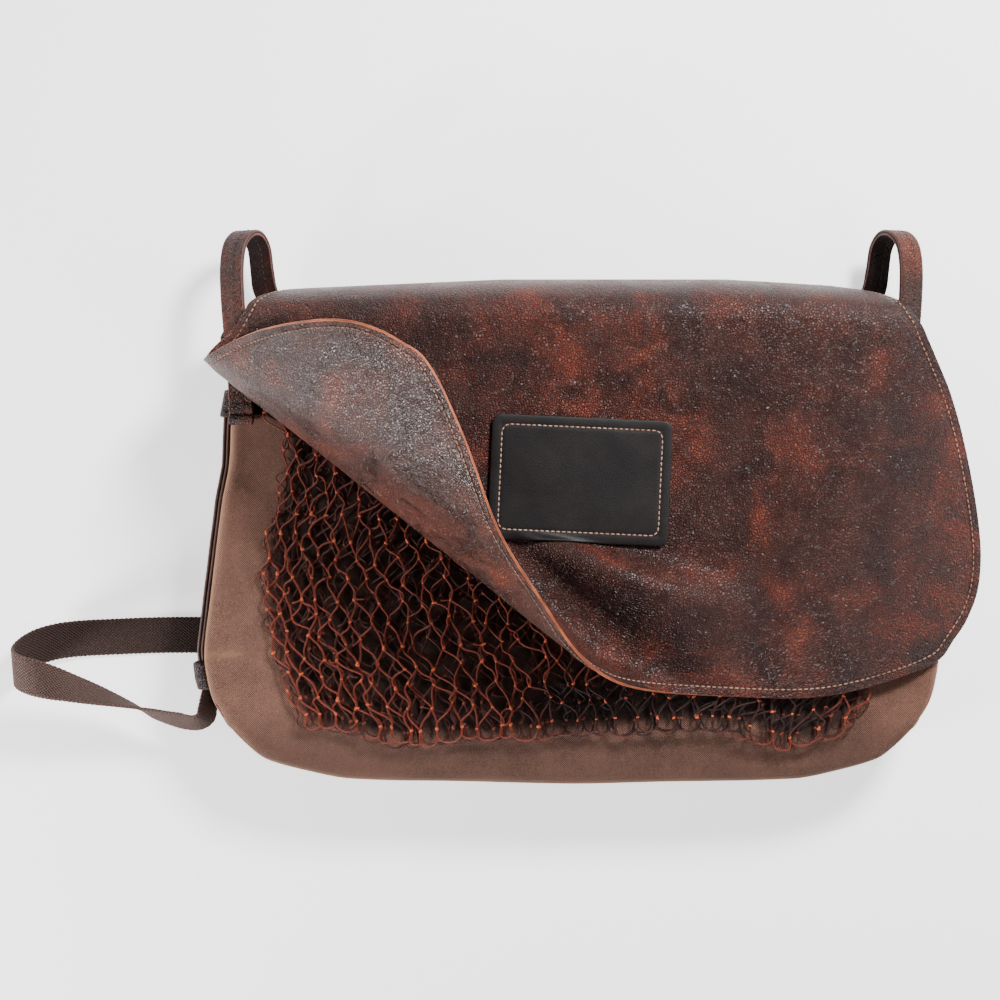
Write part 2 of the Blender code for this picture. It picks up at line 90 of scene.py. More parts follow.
def start_material(name, roughness, specular):
    """A material with only its Principled shader and output."""
    material = bpy.data.materials.new(name)
    material.use_nodes = True
    shader = material.node_tree.nodes["Principled BSDF"]
    shader.inputs["Roughness"].default_value = roughness
    shader.inputs["Specular IOR Level"].default_value = specular
    return material, shader


def finish_material(material, shader, base, layers, height, depth):
    """Lays colours over the base by their shares, and adds the height as a bump in metres."""
    tone = linear(base)
    for share, code in layers:
        tone = add(material, "Mix", {0: share, 6: tone, 7: linear(code)}, 2, data_type="RGBA")
    material.node_tree.links.new(tone, shader.inputs["Base Color"])
    bump = add(material, "Bump", {"Distance": depth, "Height": height})
    material.node_tree.links.new(bump, shader.inputs["Normal"])
    return material


SMOOTH = {"interpolation_type": "SMOOTHSTEP"}  # map ranges ease in and out

# %% [markdown]
# ## Leather
# The flap is an oiled pull-up leather: cattle hide tumbled so that its grain swells into pebbles of
# about 1.5 mm with fine creases between them, rubbed with dark wax over a red-brown dye. The wax
# breaks up into clouds a few centimetres wide, and the red shows where it wore thin. Pebbles are
# Voronoi cells on wobbly coordinates, and folds, clouds and spots are layered noise.

# %% Leather materials
NOISE_INPUTS = ("Vector", "Scale", "Detail", "Roughness", "Distortion")
LEATHER_NOISES = (  # scale per metre, detail, roughness, distortion of pores, folds, clouds, spots
    (1300.0, 2.0, 0.50, 0.0),
    (60.0, 2.0, 0.50, 1.2),
    (15.0, 4.0, 0.50, 1.2),
    (42.0, 4.0, 0.45, 0.8),
)
LEATHERS = (  # name, dark, mid, worn red, crease, roughness, pebbles in mm, bump in m, gloss
    ("pull_up_leather", "#321c18", "#482720", "#7c3523", "#140706", 0.42, 1.5, 0.0005, 0.32),
    ("flap_lining_leather", "#3d241d", "#56322a", "#8a4029", "#1a0a07", 0.30, 1.5, 0.0006, 0.32),
    ("loop_leather", "#38201a", "#553028", "#7c3b28", "#190b09", 0.50, 1.4, 0.0005, 0.30),
    # the loops' under face: a darker, matt copy of the loop leather, painted shade on the far leg
    ("loop_underside_painted_shade", "#160a08", "#240f0b", "#3b180f", "#0c0504", 0.70, 1.4, 0.0005, 0.10),
    ("strap_leather", "#342827", "#453535", "#4d3531", "#171010", 0.50, 1.4, 0.0004, 0.40),
)


def leather(name, dark, mid, red, crease_tone, roughness, pebble_mm, depth, gloss):
    material, shader = start_material(name, roughness, gloss)
    place = add(material, "TexCoord", out="Object")
    wobble = add(material, "TexNoise", {"Vector": place, "Scale": 170.0}, "Color")
    shift = add(material, "VectorMath", {0: wobble, "Scale": 0.0044}, operation="SCALE")
    bent = add(material, "VectorMath", {0: place, 1: shift}, operation="ADD")
    cells = {"Vector": bent, "Scale": 1000 / pebble_mm}
    cells = add(material, "TexVoronoi", cells, "Distance", feature="DISTANCE_TO_EDGE")
    pores, folds, clouds, spots = (
        add(material, "TexNoise", dict(zip(NOISE_INPUTS, (place, *row)))) for row in LEATHER_NOISES
    )
    pebble = add(material, "MapRange", {0: cells, 2: 0.28}, **SMOOTH)
    crease = add(material, "MapRange", {0: pebble, 2: 0.8, 3: 0.8, 4: 0.0}, **SMOOTH)
    cloud_share = add(material, "MapRange", {0: clouds, 1: 0.36, 2: 0.74}, **SMOOTH)
    spot_share = add(material, "MapRange", {0: spots, 1: 0.24, 2: 0.76}, **SMOOTH)
    worn = add(material, "Math", {0: cloud_share, 1: spot_share}, operation="MULTIPLY")
    matt, glossy = roughness + 0.08, roughness - 0.05
    rough = add(material, "MapRange", {0: spots, 1: 0.3, 2: 0.7, 3: glossy, 4: matt}, **SMOOTH)
    material.node_tree.links.new(rough, shader.inputs["Roughness"])
    height = add(material, "Math", {0: pores, 1: 0.3, 2: pebble}, operation="MULTIPLY_ADD")
    height = add(material, "Math", {0: folds, 1: 2.0, 2: height}, operation="MULTIPLY_ADD")
    layers = ((spot_share, mid), (worn, red), (crease, crease_tone))
    return finish_material(material, shader, dark, layers, height, depth)


flap_leather, flap_lining, loop_leather, loop_shaded_underside, strap_leather = (
    leather(*row) for row in LEATHERS
)
print("leathers made:", len(LEATHERS))

# %% [markdown]
# The patch is a firmer, almost black hide, pressed flat, so only very fine pores show. A raw cut
# edge shows the dyed fibres, an even orange brown with a faint streak along the cut. Waxed linen
# thread is as plain: fine fibres in two tones of one colour.

# %% Patch leather, cut edges and thread
PLAIN_MATERIALS = (  # name, base, streak, roughness, grain per metre, gloss
    ("patch_leather", "#110d0e", "#1a1414", 0.50, 1400.0, 0.22),
    ("raw_leather_edge", "#8f4526", "#b9633a", 0.60, 2200.0, 0.40),
    ("waxed_leather_edge", "#4a241b", "#5c2d20", 0.55, 2200.0, 0.40),
    ("strap_edge", "#4a3631", "#5c433c", 0.60, 1800.0, 0.40),
    ("strap_groove", "#2c1e1b", "#38251f", 0.70, 1800.0, 0.40),
    ("linen_thread", "#a98a72", "#8a6450", 0.70, 3000.0, 0.40),
    ("flap_thread", "#98735f", "#6e4c3e", 0.70, 3000.0, 0.40),
    # dark thread, also used for the stitch holes as painted shade
    ("dark_thread_and_hole_shade", "#1b1110", "#2b1a17", 0.70, 3000.0, 0.40),
)


def plain_material(name, base, streak, roughness, grain_scale, gloss):
    material, shader = start_material(name, roughness, gloss)
    place = add(material, "TexCoord", out="Object")
    grain = add(material, "TexNoise", {"Vector": place, "Scale": grain_scale, "Detail": 4.0})
    cloud = add(material, "TexNoise", {"Vector": place, "Scale": 70.0, "Detail": 3.0})
    share = add(material, "MapRange", {0: cloud, 1: 0.35, 2: 0.7}, **SMOOTH)
    return finish_material(material, shader, base, ((share, streak),), grain, 0.00012)


plain = [plain_material(*row) for row in PLAIN_MATERIALS]
patch_leather, cut_edge, dark_edge, strap_edge, strap_groove = plain[:5]
beige_thread, flap_thread, dark_thread_and_hole_shade = plain[5:]
print("edges and threads made:", len(plain))

# %% [markdown]
# ## Canvas, cord and webbing
# The body is waxed cotton canvas: a plain weave of yarns about 0.6 mm apart, drawn at 1.3 mm so
# that it shows. The wax darkens it in clouds. It rubs pale on the rims, which each piece marks as
# "wear". Under the net the front is painted darker, dirt together with painted shade of the net,
# and it is painted darker towards the bottom too. A weave is two sine waves across each other.

# %% Canvas material
def weave_of(material, place, spacing_mm):
    """The rise of yarns over and under each other, and the place's third value."""
    parts = add(material, "SeparateXYZ", {0: place}).node.outputs
    sines = []
    for axis, spacing in enumerate(spacing_mm):
        wave = 1000 / spacing * 2 * math.pi
        angle = add(material, "Math", {0: parts[axis], 1: wave}, operation="MULTIPLY")
        sines.append(add(material, "Math", {0: angle}, operation="SINE"))
    return add(material, "Math", {0: sines[0], 1: sines[1]}, operation="MULTIPLY"), parts[2]


def canvas_material(name, dark, light, rubbed, worn):
    material, shader = start_material(name, 0.88, 0.25)
    place = add(material, "TexCoord", out="Object")
    weave, _ = weave_of(material, place, (1.3, 1.3))
    fuzz = add(material, "TexNoise", {"Vector": place, "Scale": 2300.0, "Detail": 1.0})
    cloud = {"Vector": place, "Scale": 26.0, "Detail": 6.0, "Roughness": 0.65}
    cloud = add(material, "TexNoise", cloud)
    share = add(material, "MapRange", {0: cloud, 1: 0.34, 2: 0.66}, **SMOOTH)
    speck = add(material, "MapRange", {0: fuzz, 1: 0.35, 2: 0.75, 4: 0.75}, **SMOOTH)
    gap = add(material, "MapRange", {0: weave, 1: -0.9, 2: 0.5, 3: 0.85, 4: 0.0}, **SMOOTH)
    wear = add(material, "Attribute", out="Fac", attribute_name="wear")
    # darker under the net, as dirt and painted shade of the net, and darker towards the bottom
    grime_and_shade = add(material, "Attribute", out="Fac", attribute_name="grime_and_shade")
    height = add(material, "Math", {0: fuzz, 1: 1.4, 2: weave}, operation="MULTIPLY_ADD")
    layers = ((share, light), (speck, rubbed), (wear, worn), (grime_and_shade, "#1c1210"), (gap, "#2e1b15"))
    return finish_material(material, shader, dark, layers, height, 0.00035)


canvas = canvas_material("waxed_canvas", "#5a3b30", "#80584a", "#ad826f", "#bd8a68")
print("canvas made")

# %% [markdown]
# The net is rust-red cord of three strands, and its knots are painted a brighter orange, a painted
# highlight. The waist strap is cotton webbing in a basket weave of yarns about 1.3 mm apart, drawn
# at 2.2 by 1.9 mm so that it shows. Both patterns follow the piece, so they read attributes that
# the pieces carry: "knot" on the net, and "run" on both, the place along, the place across and the
# painted shade.

# %% Cord and webbing materials
def cord_material(name, cord, lit, twist_mm=2.4):
    material, shader = start_material(name, 0.62, 0.4)
    place = add(material, "TexCoord", out="Object")
    fibre = add(material, "TexNoise", {"Vector": place, "Scale": 1300.0})
    run = add(material, "Attribute", out="Vector", attribute_name="run")
    along, round_it, shade = add(material, "SeparateXYZ", {0: run}).node.outputs
    turns = {0: along, 1: 1000 / twist_mm, 2: round_it}
    turns = add(material, "Math", turns, operation="MULTIPLY_ADD")
    angle = add(material, "Math", {0: turns, 1: 3 * 2 * math.pi}, operation="MULTIPLY")
    strand = add(material, "Math", {0: angle}, operation="SINE")
    # knots and the cord near them take the lit colour: a painted highlight; fibre flecks in it vary
    # at random
    knot = add(material, "Attribute", out="Fac", attribute_name="knot")
    groove = add(material, "MapRange", {0: strand, 1: -1.0, 2: 0.6, 3: 0.75, 4: 0.0}, **SMOOTH)
    spot = add(material, "MapRange", {0: fibre, 1: 0.35, 2: 0.75, 4: 0.35}, **SMOOTH)
    height = add(material, "Math", {0: strand, 1: fibre}, operation="ADD")
    # shade darkens the cord to near black: painted shade
    layers = ((knot, lit), (groove, "#1c0703"), (spot, lit), (shade, "#140503"))
    return finish_material(material, shader, cord, layers, height, 0.0003)


def webbing_material(name, dark, light, deep):
    material, shader = start_material(name, 0.9, 0.2)
    run = add(material, "Attribute", out="Vector", attribute_name="run")
    place = add(material, "TexCoord", out="Object")
    weave, shade = weave_of(material, run, (2.2, 1.9))
    lift = add(material, "MapRange", {0: weave, 1: -0.5, 2: 0.8}, **SMOOTH)
    fuzz = add(material, "TexNoise", {"Vector": place, "Scale": 1600.0})
    speck = add(material, "MapRange", {0: fuzz, 1: 0.35, 2: 0.7, 4: 0.3}, **SMOOTH)
    height = add(material, "Math", {0: lift, 1: 2.0, 2: fuzz}, operation="MULTIPLY_ADD")
    # deep darkens the webbing by the run's third value: painted shade
    layers = ((lift, light), (speck, "#7a6257"), (shade, deep))
    return finish_material(material, shader, dark, layers, height, 0.0004)


net_cord = cord_material("rust_cord", "#7c2718", "#c9582f")
# a darker copy of the same cord for the two lower layers: painted shade
under_cord = cord_material("rust_cord_in_shade", "#4a180d", "#742c19")
webbing = webbing_material("cotton_webbing", "#362522", "#64504a", "#1d1211")
print("cord and webbing made")

# %% [markdown]
# ## Curves and sheets
# Soft goods are sheets with a real thickness. A sheet here is a grid of points on its middle
# surface. The helper sets a top and a bottom half a thickness away, and closes the border with a
# small profile, round for cloth and with a groove in the middle for two leathers sewn together.

# %% Curve helpers
def ease(share):
    """From 0 to 1 with level ends, and flat outside."""
    share = min(max(share, 0.0), 1.0)
    return share * share * (3 - 2 * share)


def bell(distance):
    """1 at nought, falling off on both sides to almost nothing at 2."""
    return math.exp(-(distance**2))


def between(rows, at, column=1):
    """A column of a table, at a value between those in its first column."""
    if at <= rows[0][0]:
        return rows[0][column]
    for low, high in zip(rows, rows[1:]):
        if at <= high[0]:
            share = (at - low[0]) / (high[0] - low[0])
            return low[column] + share * (high[column] - low[column])
    return rows[-1][column]


def through(points):
    """A smooth curve through these points, as a function of the share of its length."""
    points = [Vector(point) for point in points]
    marks = [0.0]
    for start, end in zip(points, points[1:]):
        marks.append(marks[-1] + (end - start).length)

    def slope(i):
        low, high = max(i - 1, 0), min(i + 1, len(points) - 1)
        return (points[high] - points[low]) / (marks[high] - marks[low])

    def at(share):
        along = min(max(share, 0.0), 1.0) * marks[-1]
        i = 0
        while i < len(points) - 2 and along > marks[i + 1]:
            i += 1
        span = marks[i + 1] - marks[i]
        t = (along - marks[i]) / span
        return (
            points[i] * (2 * t**3 - 3 * t**2 + 1)
            + slope(i) * span * (t**3 - 2 * t**2 + t)
            + points[i + 1] * (3 * t**2 - 2 * t**3)
            + slope(i + 1) * span * (t**3 - t**2)
        )

    at.length = marks[-1]
    return at


def steps(length, pitch, border=(0.0,)):
    """Shares along a length at about this pitch, with closer steps inside each end."""
    near = [d / length for d in border]
    inner = max(2, round((1 - 2 * near[-1]) * length / pitch))
    middle = [near[-1] + (1 - 2 * near[-1]) * i / inner for i in range(inner + 1)]
    return near[:-1] + middle + [1 - d for d in reversed(near[:-1])]


# %% Sheet helpers
def surface_normals(points, stand_in=(0.0, 0.0, 1.0)):
    """Unit normals of a grid of points, from its rows and columns.

    At a rounded corner rows and columns run side by side and say little, so stand_in is used there.
    """
    across = np.gradient(points, axis=1)
    along = np.gradient(points, axis=0)
    normal = np.cross(across, along)
    length = np.linalg.norm(normal, axis=2)
    crossing = length / (np.linalg.norm(across, axis=2) * np.linalg.norm(along, axis=2))
    normal /= length[:, :, None]
    return np.where(crossing[:, :, None] > 0.5, normal, np.broadcast_to(stand_in, normal.shape))


def border_of(rows, columns):
    """The grid's border as (row, column), once round, leftwise along the top."""
    ring = [(0, j) for j in range(columns)]
    ring += [(i, columns - 1) for i in range(1, rows)]
    ring += [(rows - 1, j) for j in range(columns - 2, -1, -1)]
    ring += [(i, 0) for i in range(rows - 2, 0, -1)]
    return ring


ROUND_EDGE = ((0.55, 0.80), (0.95, 0.40), (1.10, 0.0), (0.95, -0.40), (0.55, -0.80))
PRESSED_EDGE = ((0.12, 0.96), (0.26, 0.75), (0.30, 0.0), (0.26, -0.75), (0.12, -0.96))
DOUBLE_EDGE = (
    (0.35, 0.90), (0.50, 0.56), (0.40, 0.16), (-0.10, 0.0), (0.40, -0.16), (0.50, -0.56),
    (0.35, -0.90),
)


def keep_piece(mesh, name, materials):
    """Puts a finished mesh in the scene as a smooth piece of the bag."""
    mesh.update()
    piece = bpy.data.objects.new(name, mesh)
    bpy.context.scene.collection.objects.link(piece)
    for material in materials:
        mesh.materials.append(material)
    mesh.shade_smooth()
    return piece


def store_fact(mesh, label, values):
    """Keeps a number or a vector for each point, which a material reads by this label."""
    values = np.asarray(values, dtype=np.float32).reshape(len(mesh.vertices), -1)
    wide = values.shape[1] == 3
    store = mesh.attributes.new(label, "FLOAT_VECTOR" if wide else "FLOAT", "POINT")
    store.data.foreach_set("vector" if wide else "value", values.ravel())


def new_slab(name, points, thick, edge, materials, facts=None, stand_in=(0.0, 0.0, 1.0)):
    """A sheet with its border closed by an edge profile. facts are values for each grid point.

    thick is one thickness or one for each grid point. materials are those of the top, the bottom,
    the border and the groove in the middle of the border.
    """
    points = np.asarray(points, dtype=float)
    rows, columns = points.shape[:2]
    size = rows * columns
    half = np.broadcast_to(np.asarray(thick, dtype=float) / 2, (rows, columns))
    normal = surface_normals(points, stand_in)
    ring = tuple(np.array(border_of(rows, columns)).T)
    middle, rim_normal, rim_half = points[ring], normal[ring], half[ring][:, None]
    out = np.cross(np.roll(middle, -1, axis=0) - np.roll(middle, 1, axis=0), rim_normal)
    out /= np.linalg.norm(out, axis=1, keepdims=True)
    layers = [(points + side * normal * half[:, :, None]).reshape(-1, 3) for side in (1, -1)]
    layers += [
        middle + out * rim_half * reach + rim_normal * rim_half * rise for reach, rise in edge
    ]
    top = np.arange(size).reshape(rows, columns)
    quads = np.stack([top[:-1, :-1], top[:-1, 1:], top[1:, 1:], top[1:, :-1]], axis=2)
    quads = quads.reshape(-1, 4)
    faces = np.stack([quads, size + quads[:, ::-1]], axis=1).reshape(-1, 4).tolist()
    kinds = [0, 1] * len(quads)
    count = len(middle)
    bands = 2 * size + np.arange(len(edge) * count).reshape(-1, count)
    loops = [top[ring], *bands, size + top[ring]]
    border_kinds = [0, 2, 2, 3, 3, 2, 2, 1] if len(materials) > 3 else [2] * (len(edge) + 1)
    for kind, upper, lower in zip(border_kinds, loops, loops[1:]):
        band = [upper, lower, np.roll(lower, -1), np.roll(upper, -1)]
        faces += np.stack(band, axis=1).tolist()
        kinds += [kind] * count
    mesh = bpy.data.meshes.new(name)
    mesh.from_pydata(np.concatenate(layers).tolist(), [], faces)
    for label, values in (facts or {}).items():
        values = np.asarray(values, dtype=float).reshape(rows, columns, -1)
        flat = values.reshape(size, -1)
        store_fact(mesh, label, np.concatenate([flat, flat] + [values[ring]] * len(edge)))
    piece = keep_piece(mesh, name, materials)
    mesh.polygons.foreach_set("material_index", kinds)
    return piece


def lay_as_sheet(points):
    """Turns the points into an array; nothing more is done with them."""
    points = np.asarray(points, dtype=float)


def ride_as(piece, slot, *nodes):
    """The piece moves with the bag, and stands for these solids."""
    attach(piece, "root")
    if nodes:
        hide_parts(*nodes)
    print(piece.name, "faces:", len(piece.data.polygons))


def ripple(x, y, size_mm, seed=0.0):
    """Smooth noise from about -1 to 1 with bumps of this size."""
    return noise.noise(Vector((x * 1000 / size_mm, y * 1000 / size_mm, seed)))

# %% [markdown]
# ## The canvas body
# The body is three cuts of canvas: a front, a back and one strip, the gusset, sewn between them
# round the sides and the bottom. The front is a shallow dome with soft dents where the canvas has
# slumped. Its rim rolls over the seam, and there the wax has rubbed off, which is stored as wear.

# %% Body outline
CANVAS = 0.0018
RIM_Z = 0.052
DOME = 0.016
GUSSET_TOP = 0.118
STRAP_Y = -0.0620  # where the waist strap runs behind the bag
WEBBING_WIDTH = 0.0208
BACK_TOP = ((0.1760, 0.1310), (0.1845, 0.1150), (0.1925, 0.0930))
BODY_SIDE = (  # half width, y, from the mouth of the front panel down to the middle of the bottom
    (0.1972, 0.0680), (0.1985, 0.0400), (0.2024, 0.0190), (0.2093, -0.0370), (0.2129, -0.0690),
    (0.2112, -0.0845), (0.2077, -0.0973), (0.1996, -0.1110), (0.1856, -0.1246), (0.1763, -0.1310),
    (0.1507, -0.1380), (0.1287, -0.1420), (0.0530, -0.1438), (0.0000, -0.1449),
)
CORNER_ROW = 7
DENTS = (  # x, y, half length along x, half length along y, height
    (-0.170, 0.010, 0.026, 0.055, -0.0035), (-0.150, -0.085, 0.045, 0.030, -0.0025),
    (-0.192, -0.070, 0.018, 0.010, 0.0020), (0.060, -0.120, 0.070, 0.018, -0.0020),
    (0.185, -0.100, 0.022, 0.030, -0.0025), (0.010, 0.020, 0.080, 0.060, -0.0015),
)


def body_half_width(y):
    rows = sorted((row_y, x) for x, row_y in BODY_SIDE + BACK_TOP)
    return max(between(rows, y), 0.0001)


def front_z(x, y):
    """Height of the canvas front: a shallow dome with soft dents."""
    across = min(abs(x) / body_half_width(y), 1.0)
    down = min(max(-y, 0.0) / -BODY_SIDE[-1][1], 1.0)
    fullness = (1 - across**3) * (1 - down**4)
    z = RIM_Z + DOME * fullness
    for dent_x, dent_y, half_x, half_y, height in DENTS:
        away = ((x - dent_x) / half_x) ** 2 + ((y - dent_y) / half_y) ** 2
        z += height * math.exp(-away) * min(fullness * 4, 1.0)
    return z


def back_lift(y):
    """How far the back panel stands off the floor, over the waist strap and the flap's seam."""
    off_strap = abs(y - STRAP_Y) - WEBBING_WIDTH / 2
    over_strap = 1 - ease((off_strap - 0.0080) / 0.016)
    over_seam = ease((y - 0.088) / 0.011)
    return 0.0026 * over_strap + 0.0033 * over_seam


def panel(top, side_rows, corner_row, axis=0.0, tuck=lambda y: 0.0):
    """Fills a mirrored outline: returns a function from shares across and down to x, y."""
    right = through([(axis + x, y) for x, y in side_rows[: corner_row + 1]])
    left = through([(axis - x + tuck(y), y) for x, y in side_rows[: corner_row + 1]])
    low = side_rows[corner_row:]
    bottom = through(
        [(axis - x, y) for x, y in low] + [(axis + x, y) for x, y in reversed(low[:-1])]
    )

    def at(u, v):
        corners = (
            left(0) * (1 - u) * (1 - v)
            + right(0) * u * (1 - v)
            + left(1) * (1 - u) * v
            + right(1) * u * v
        )
        return left(v) * (1 - u) + right(v) * u + top(u) * (1 - v) + bottom(u) * v - corners

    return at


def outline_of(grid_points):
    """The border of a flat grid, as an array of points once round."""
    grid_points = np.asarray(grid_points)
    return np.array([grid_points[a] for a in border_of(*grid_points.shape[:2])])


def distance_to(points, line):
    """Distance from each grid point to the nearest point of a line."""
    flat = points.reshape(-1, 2)
    nearest = np.full(len(flat), 1e9)
    for spot in line:
        nearest = np.minimum(nearest, np.hypot(flat[:, 0] - spot[0], flat[:, 1] - spot[1]))
    return nearest.reshape(points.shape[:2])


# %% Where the net covers the canvas
NET_LEFT = (  # y, x of the left edge
    (-0.1220, -0.1500), (-0.1098, -0.1535), (-0.0954, -0.1621), (-0.0610, -0.1748),
    (-0.0380, -0.1782), (-0.0064, -0.1782), (0.0194, -0.1702), (0.0452, -0.1662),
    (0.0538, -0.1621), (0.0620, -0.1700), (0.0716, -0.1782),
)
NET_RIGHT = (  # y, x of the right edge
    (-0.1220, 0.1560), (-0.1109, 0.1593), (-0.0994, 0.1656), (-0.0920, 0.1719), (0.0700, 0.1700),
)
NET_FOOT = (  # x, y of the lower edge
    (-0.1535, -0.1098), (-0.1300, -0.1165), (-0.1076, -0.1195), (-0.0703, -0.1172),
    (-0.0072, -0.1143), (0.0227, -0.1126), (0.0623, -0.1098), (0.0921, -0.1120),
    (0.1048, -0.1120), (0.1145, -0.1195), (0.1386, -0.1224), (0.1593, -0.1109),
)

# %% Canvas front
RIM_ROWS = (0.0, 0.0012, 0.0026, 0.0045)  # closer points beside the rim
MOUTH = ((-0.1972, 0.0680), (0.0, 0.0650), (0.1972, 0.0680))
RUBBED_CREASE = (-0.200, -0.0700, 0.05)  # x, y and slope of a pale crease at the left corner


def flat_grid(place, across, down):
    """Places for shares across and down, the lowest row first."""
    return np.array([[tuple(place(u, v)) for u in across] for v in reversed(down)])


def front_place(x, y, d):
    """A point of the front at this distance from its rim, its wear, and its darkening by dirt and
    painted shade.
    """
    z = front_z(x, y) - CANVAS / 2
    # soft swells, puckers beside the seam, and the ridge and the groove of the seam itself
    z += 0.0007 * ripple(x, y, 46) + 0.0003 * ripple(x, y, 17, 3.0)
    z += 0.0011 * ripple(x, y, 30, 8.0) * math.exp(-d / 0.018)
    z += 0.0010 * bell((d - 0.0042) / 0.0022) - 0.0030 * bell(d / 0.0016)
    crease_x, crease_y, slope = RUBBED_CREASE
    off_crease = y - crease_y - slope * (x - crease_x)
    rub = 0.85 * bell(d / 0.0013) + 0.10 * math.exp(-d / 0.006)
    rub += 0.5 * bell(off_crease / 0.0016) * bell((x - crease_x) / 0.010)
    # painted darker under the net, as dirt and painted shade, and painted darker towards the bottom
    inside = min(x - between(NET_LEFT, y), between(NET_RIGHT, y) - x, y - between(NET_FOOT, x))
    dirt_and_shade = max(0.86 * ease((inside + 0.001) / 0.008), 0.42 * ease((-0.095 - y) / 0.03))
    return (x, y, z), min(rub, 1.0), dirt_and_shade


front_at = panel(through(MOUTH), BODY_SIDE, CORNER_ROW)
flat_front = flat_grid(front_at, steps(0.40, 0.0030, RIM_ROWS), steps(0.21, 0.0030, RIM_ROWS))
rim_line = outline_of(flat_front)
rim_line = rim_line[rim_line[:, 1] < 0.0645]
off_rim = distance_to(flat_front, rim_line)
front = [
    [front_place(x, y, d) for (x, y), d in zip(row, off)] for row, off in zip(flat_front, off_rim)
]
front_points, *front_facts = ([[spot[k] for spot in row] for row in front] for k in range(3))
facts = dict(zip(("wear", "grime_and_shade"), front_facts))
canvas_front = new_slab(
    "canvas_front_panel", front_points, CANVAS, ROUND_EDGE, [canvas] * 3, facts
)
ride_as(canvas_front, "canvas", "canvas_front")
lay_as_sheet(front_points)

# %% Canvas gusset
def rim_from(top_y):
    """The body's outline from this height on the left, round the bottom, to the right."""
    rows = [(body_half_width(top_y), top_y)]
    rows += [(x, y) for x, y in BACK_TOP + BODY_SIDE if y < top_y - 0.004]
    return through([(-x, y) for x, y in rows] + [(x, y) for x, y in reversed(rows[:-1])])


widths = steps(0.045, 0.0035, (0.0, 0.0015, 0.003))
rims = [rim_from(GUSSET_TOP + w * (MOUTH[0][1] - GUSSET_TOP)) for w in widths]
gusset_points = []
for s in steps(rims[0].length, 0.0035):
    line = []
    for w, rim in zip(widths, rims):
        spot = rim(s)
        outward = Vector((spot.x, spot.y * 0.7)).normalized()
        belly = (0.0015 + 0.0010 * ripple(s * 0.9, w * 0.05, 40, 5.0)) * 4 * w * (1 - w)
        low = back_lift(spot.y) + CANVAS + 0.0010
        high = front_z(spot.x, spot.y) - CANVAS - 0.0010
        x, y = spot + outward * (belly - CANVAS / 2)
        line.append((x, y, low + w * (high - low)))
    gusset_points.append(line)
edge_wear = [0.5 * bell((1 - w) / 0.05) + 0.4 * bell(w / 0.05) for w in widths]
facts = {"wear": [edge_wear] * len(gusset_points)}
canvas_gusset = new_slab(
    "canvas_gusset_strip", gusset_points, CANVAS, ROUND_EDGE, [canvas] * 3, facts
)
ride_as(canvas_gusset, "canvas", "canvas_gusset")
lay_as_sheet(gusset_points)

# %% Canvas back
back_rows = BACK_TOP + BODY_SIDE
top_x, top_y = back_rows[0]
back_top = through([(-top_x, top_y), (0.0, top_y), (top_x, top_y)])
back_at = panel(back_top, back_rows, CORNER_ROW + len(BACK_TOP))
flat_back = flat_grid(back_at, steps(0.41, 0.005), steps(0.27, 0.004))
off_back = distance_to(flat_back, outline_of(flat_back))
back_points = [[(x, y, back_lift(y) + CANVAS / 2) for x, y in row] for row in flat_back]
facts = {"wear": [[0.6 * bell(d / 0.004) for d in row] for row in off_back]}
canvas_back = new_slab("canvas_back_panel", back_points, CANVAS, ROUND_EDGE, [canvas] * 3, facts)
ride_as(canvas_back, "canvas", "canvas_back")
lay_as_sheet(back_points)

# %% [markdown]
# ## The leather flap
# Two leathers are glued and sewn round their border, then rolled. Leather doesn't stretch, so the
# roll is built as a cone that unrolls flat: every small step turns by the same angle on the cone as
# on the flat cut. The grid is drawn on the flat cut first and then carried onto the cone, so the
# stitches and the grain stay the right size.

# %% Flap outline and roll
LEATHER = 0.0030
FLAP_AXIS = -0.0017
FLAP_SIDE = (  # half width, y, from the turn over the ridge down to the middle of the bottom
    (0.2010, 0.1180), (0.2080, 0.1020), (0.2176, 0.0792), (0.2257, 0.0513), (0.2310, 0.0268),
    (0.2345, 0.0060), (0.2360, -0.0143), (0.2340, -0.0339), (0.2274, -0.0502), (0.2194, -0.0616),
    (0.2109, -0.0724), (0.1847, -0.0830), (0.1522, -0.0912), (0.1277, -0.0935), (0.0866, -0.0923),
    (0.0540, -0.0912), (0.0000, -0.0910),
)
FLAP_CORNER_ROW = 9
FLAP_Z = 0.0735
FLAP_BACK_Z = 0.0015
FLAP_BACK_Y = 0.1040
SEAM_INSET = 0.0046
SEAM_GROOVE = 0.0007  # how much thinner the two leathers are under their stitches
SKIVED = 0.0016  # their thickness at the border
SKIVED_REACH = 0.010
RIDGE = (  # x, y of the ridge that the flap turns over
    (-0.176, 0.1430), (-0.040, 0.1490), (0.090, 0.1490), (0.152, 0.1455), (0.200, 0.1400),
)
RIDGE_TURN = (  # share of the reach out to the ridge, share of the height, half width
    (0.00, 1.000, 0.2010), (0.20, 0.995, 0.1985), (0.40, 0.975, 0.1958), (0.62, 0.930, 0.1930),
    (0.82, 0.820, 0.1868), (0.95, 0.650, 0.1800), (1.00, 0.470, 0.1760), (0.98, 0.280, 0.1725),
    (0.90, 0.130, 0.1705), (0.76, 0.035, 0.1690), (0.58, 0.000, 0.1680),
)
ROLL_APEX = Vector((-0.2312, 0.1164))
ROLL_START = math.radians(-32.27)
ROLL_BEND = ((0.0, 9.4), (6.9, 10.0), (17.2, -1.24), (28.6, 2.82), (45.8, -0.47), (68.8, -8.8))
ROLL_STEP = math.radians(0.25)
ROLL_STEPS = 400


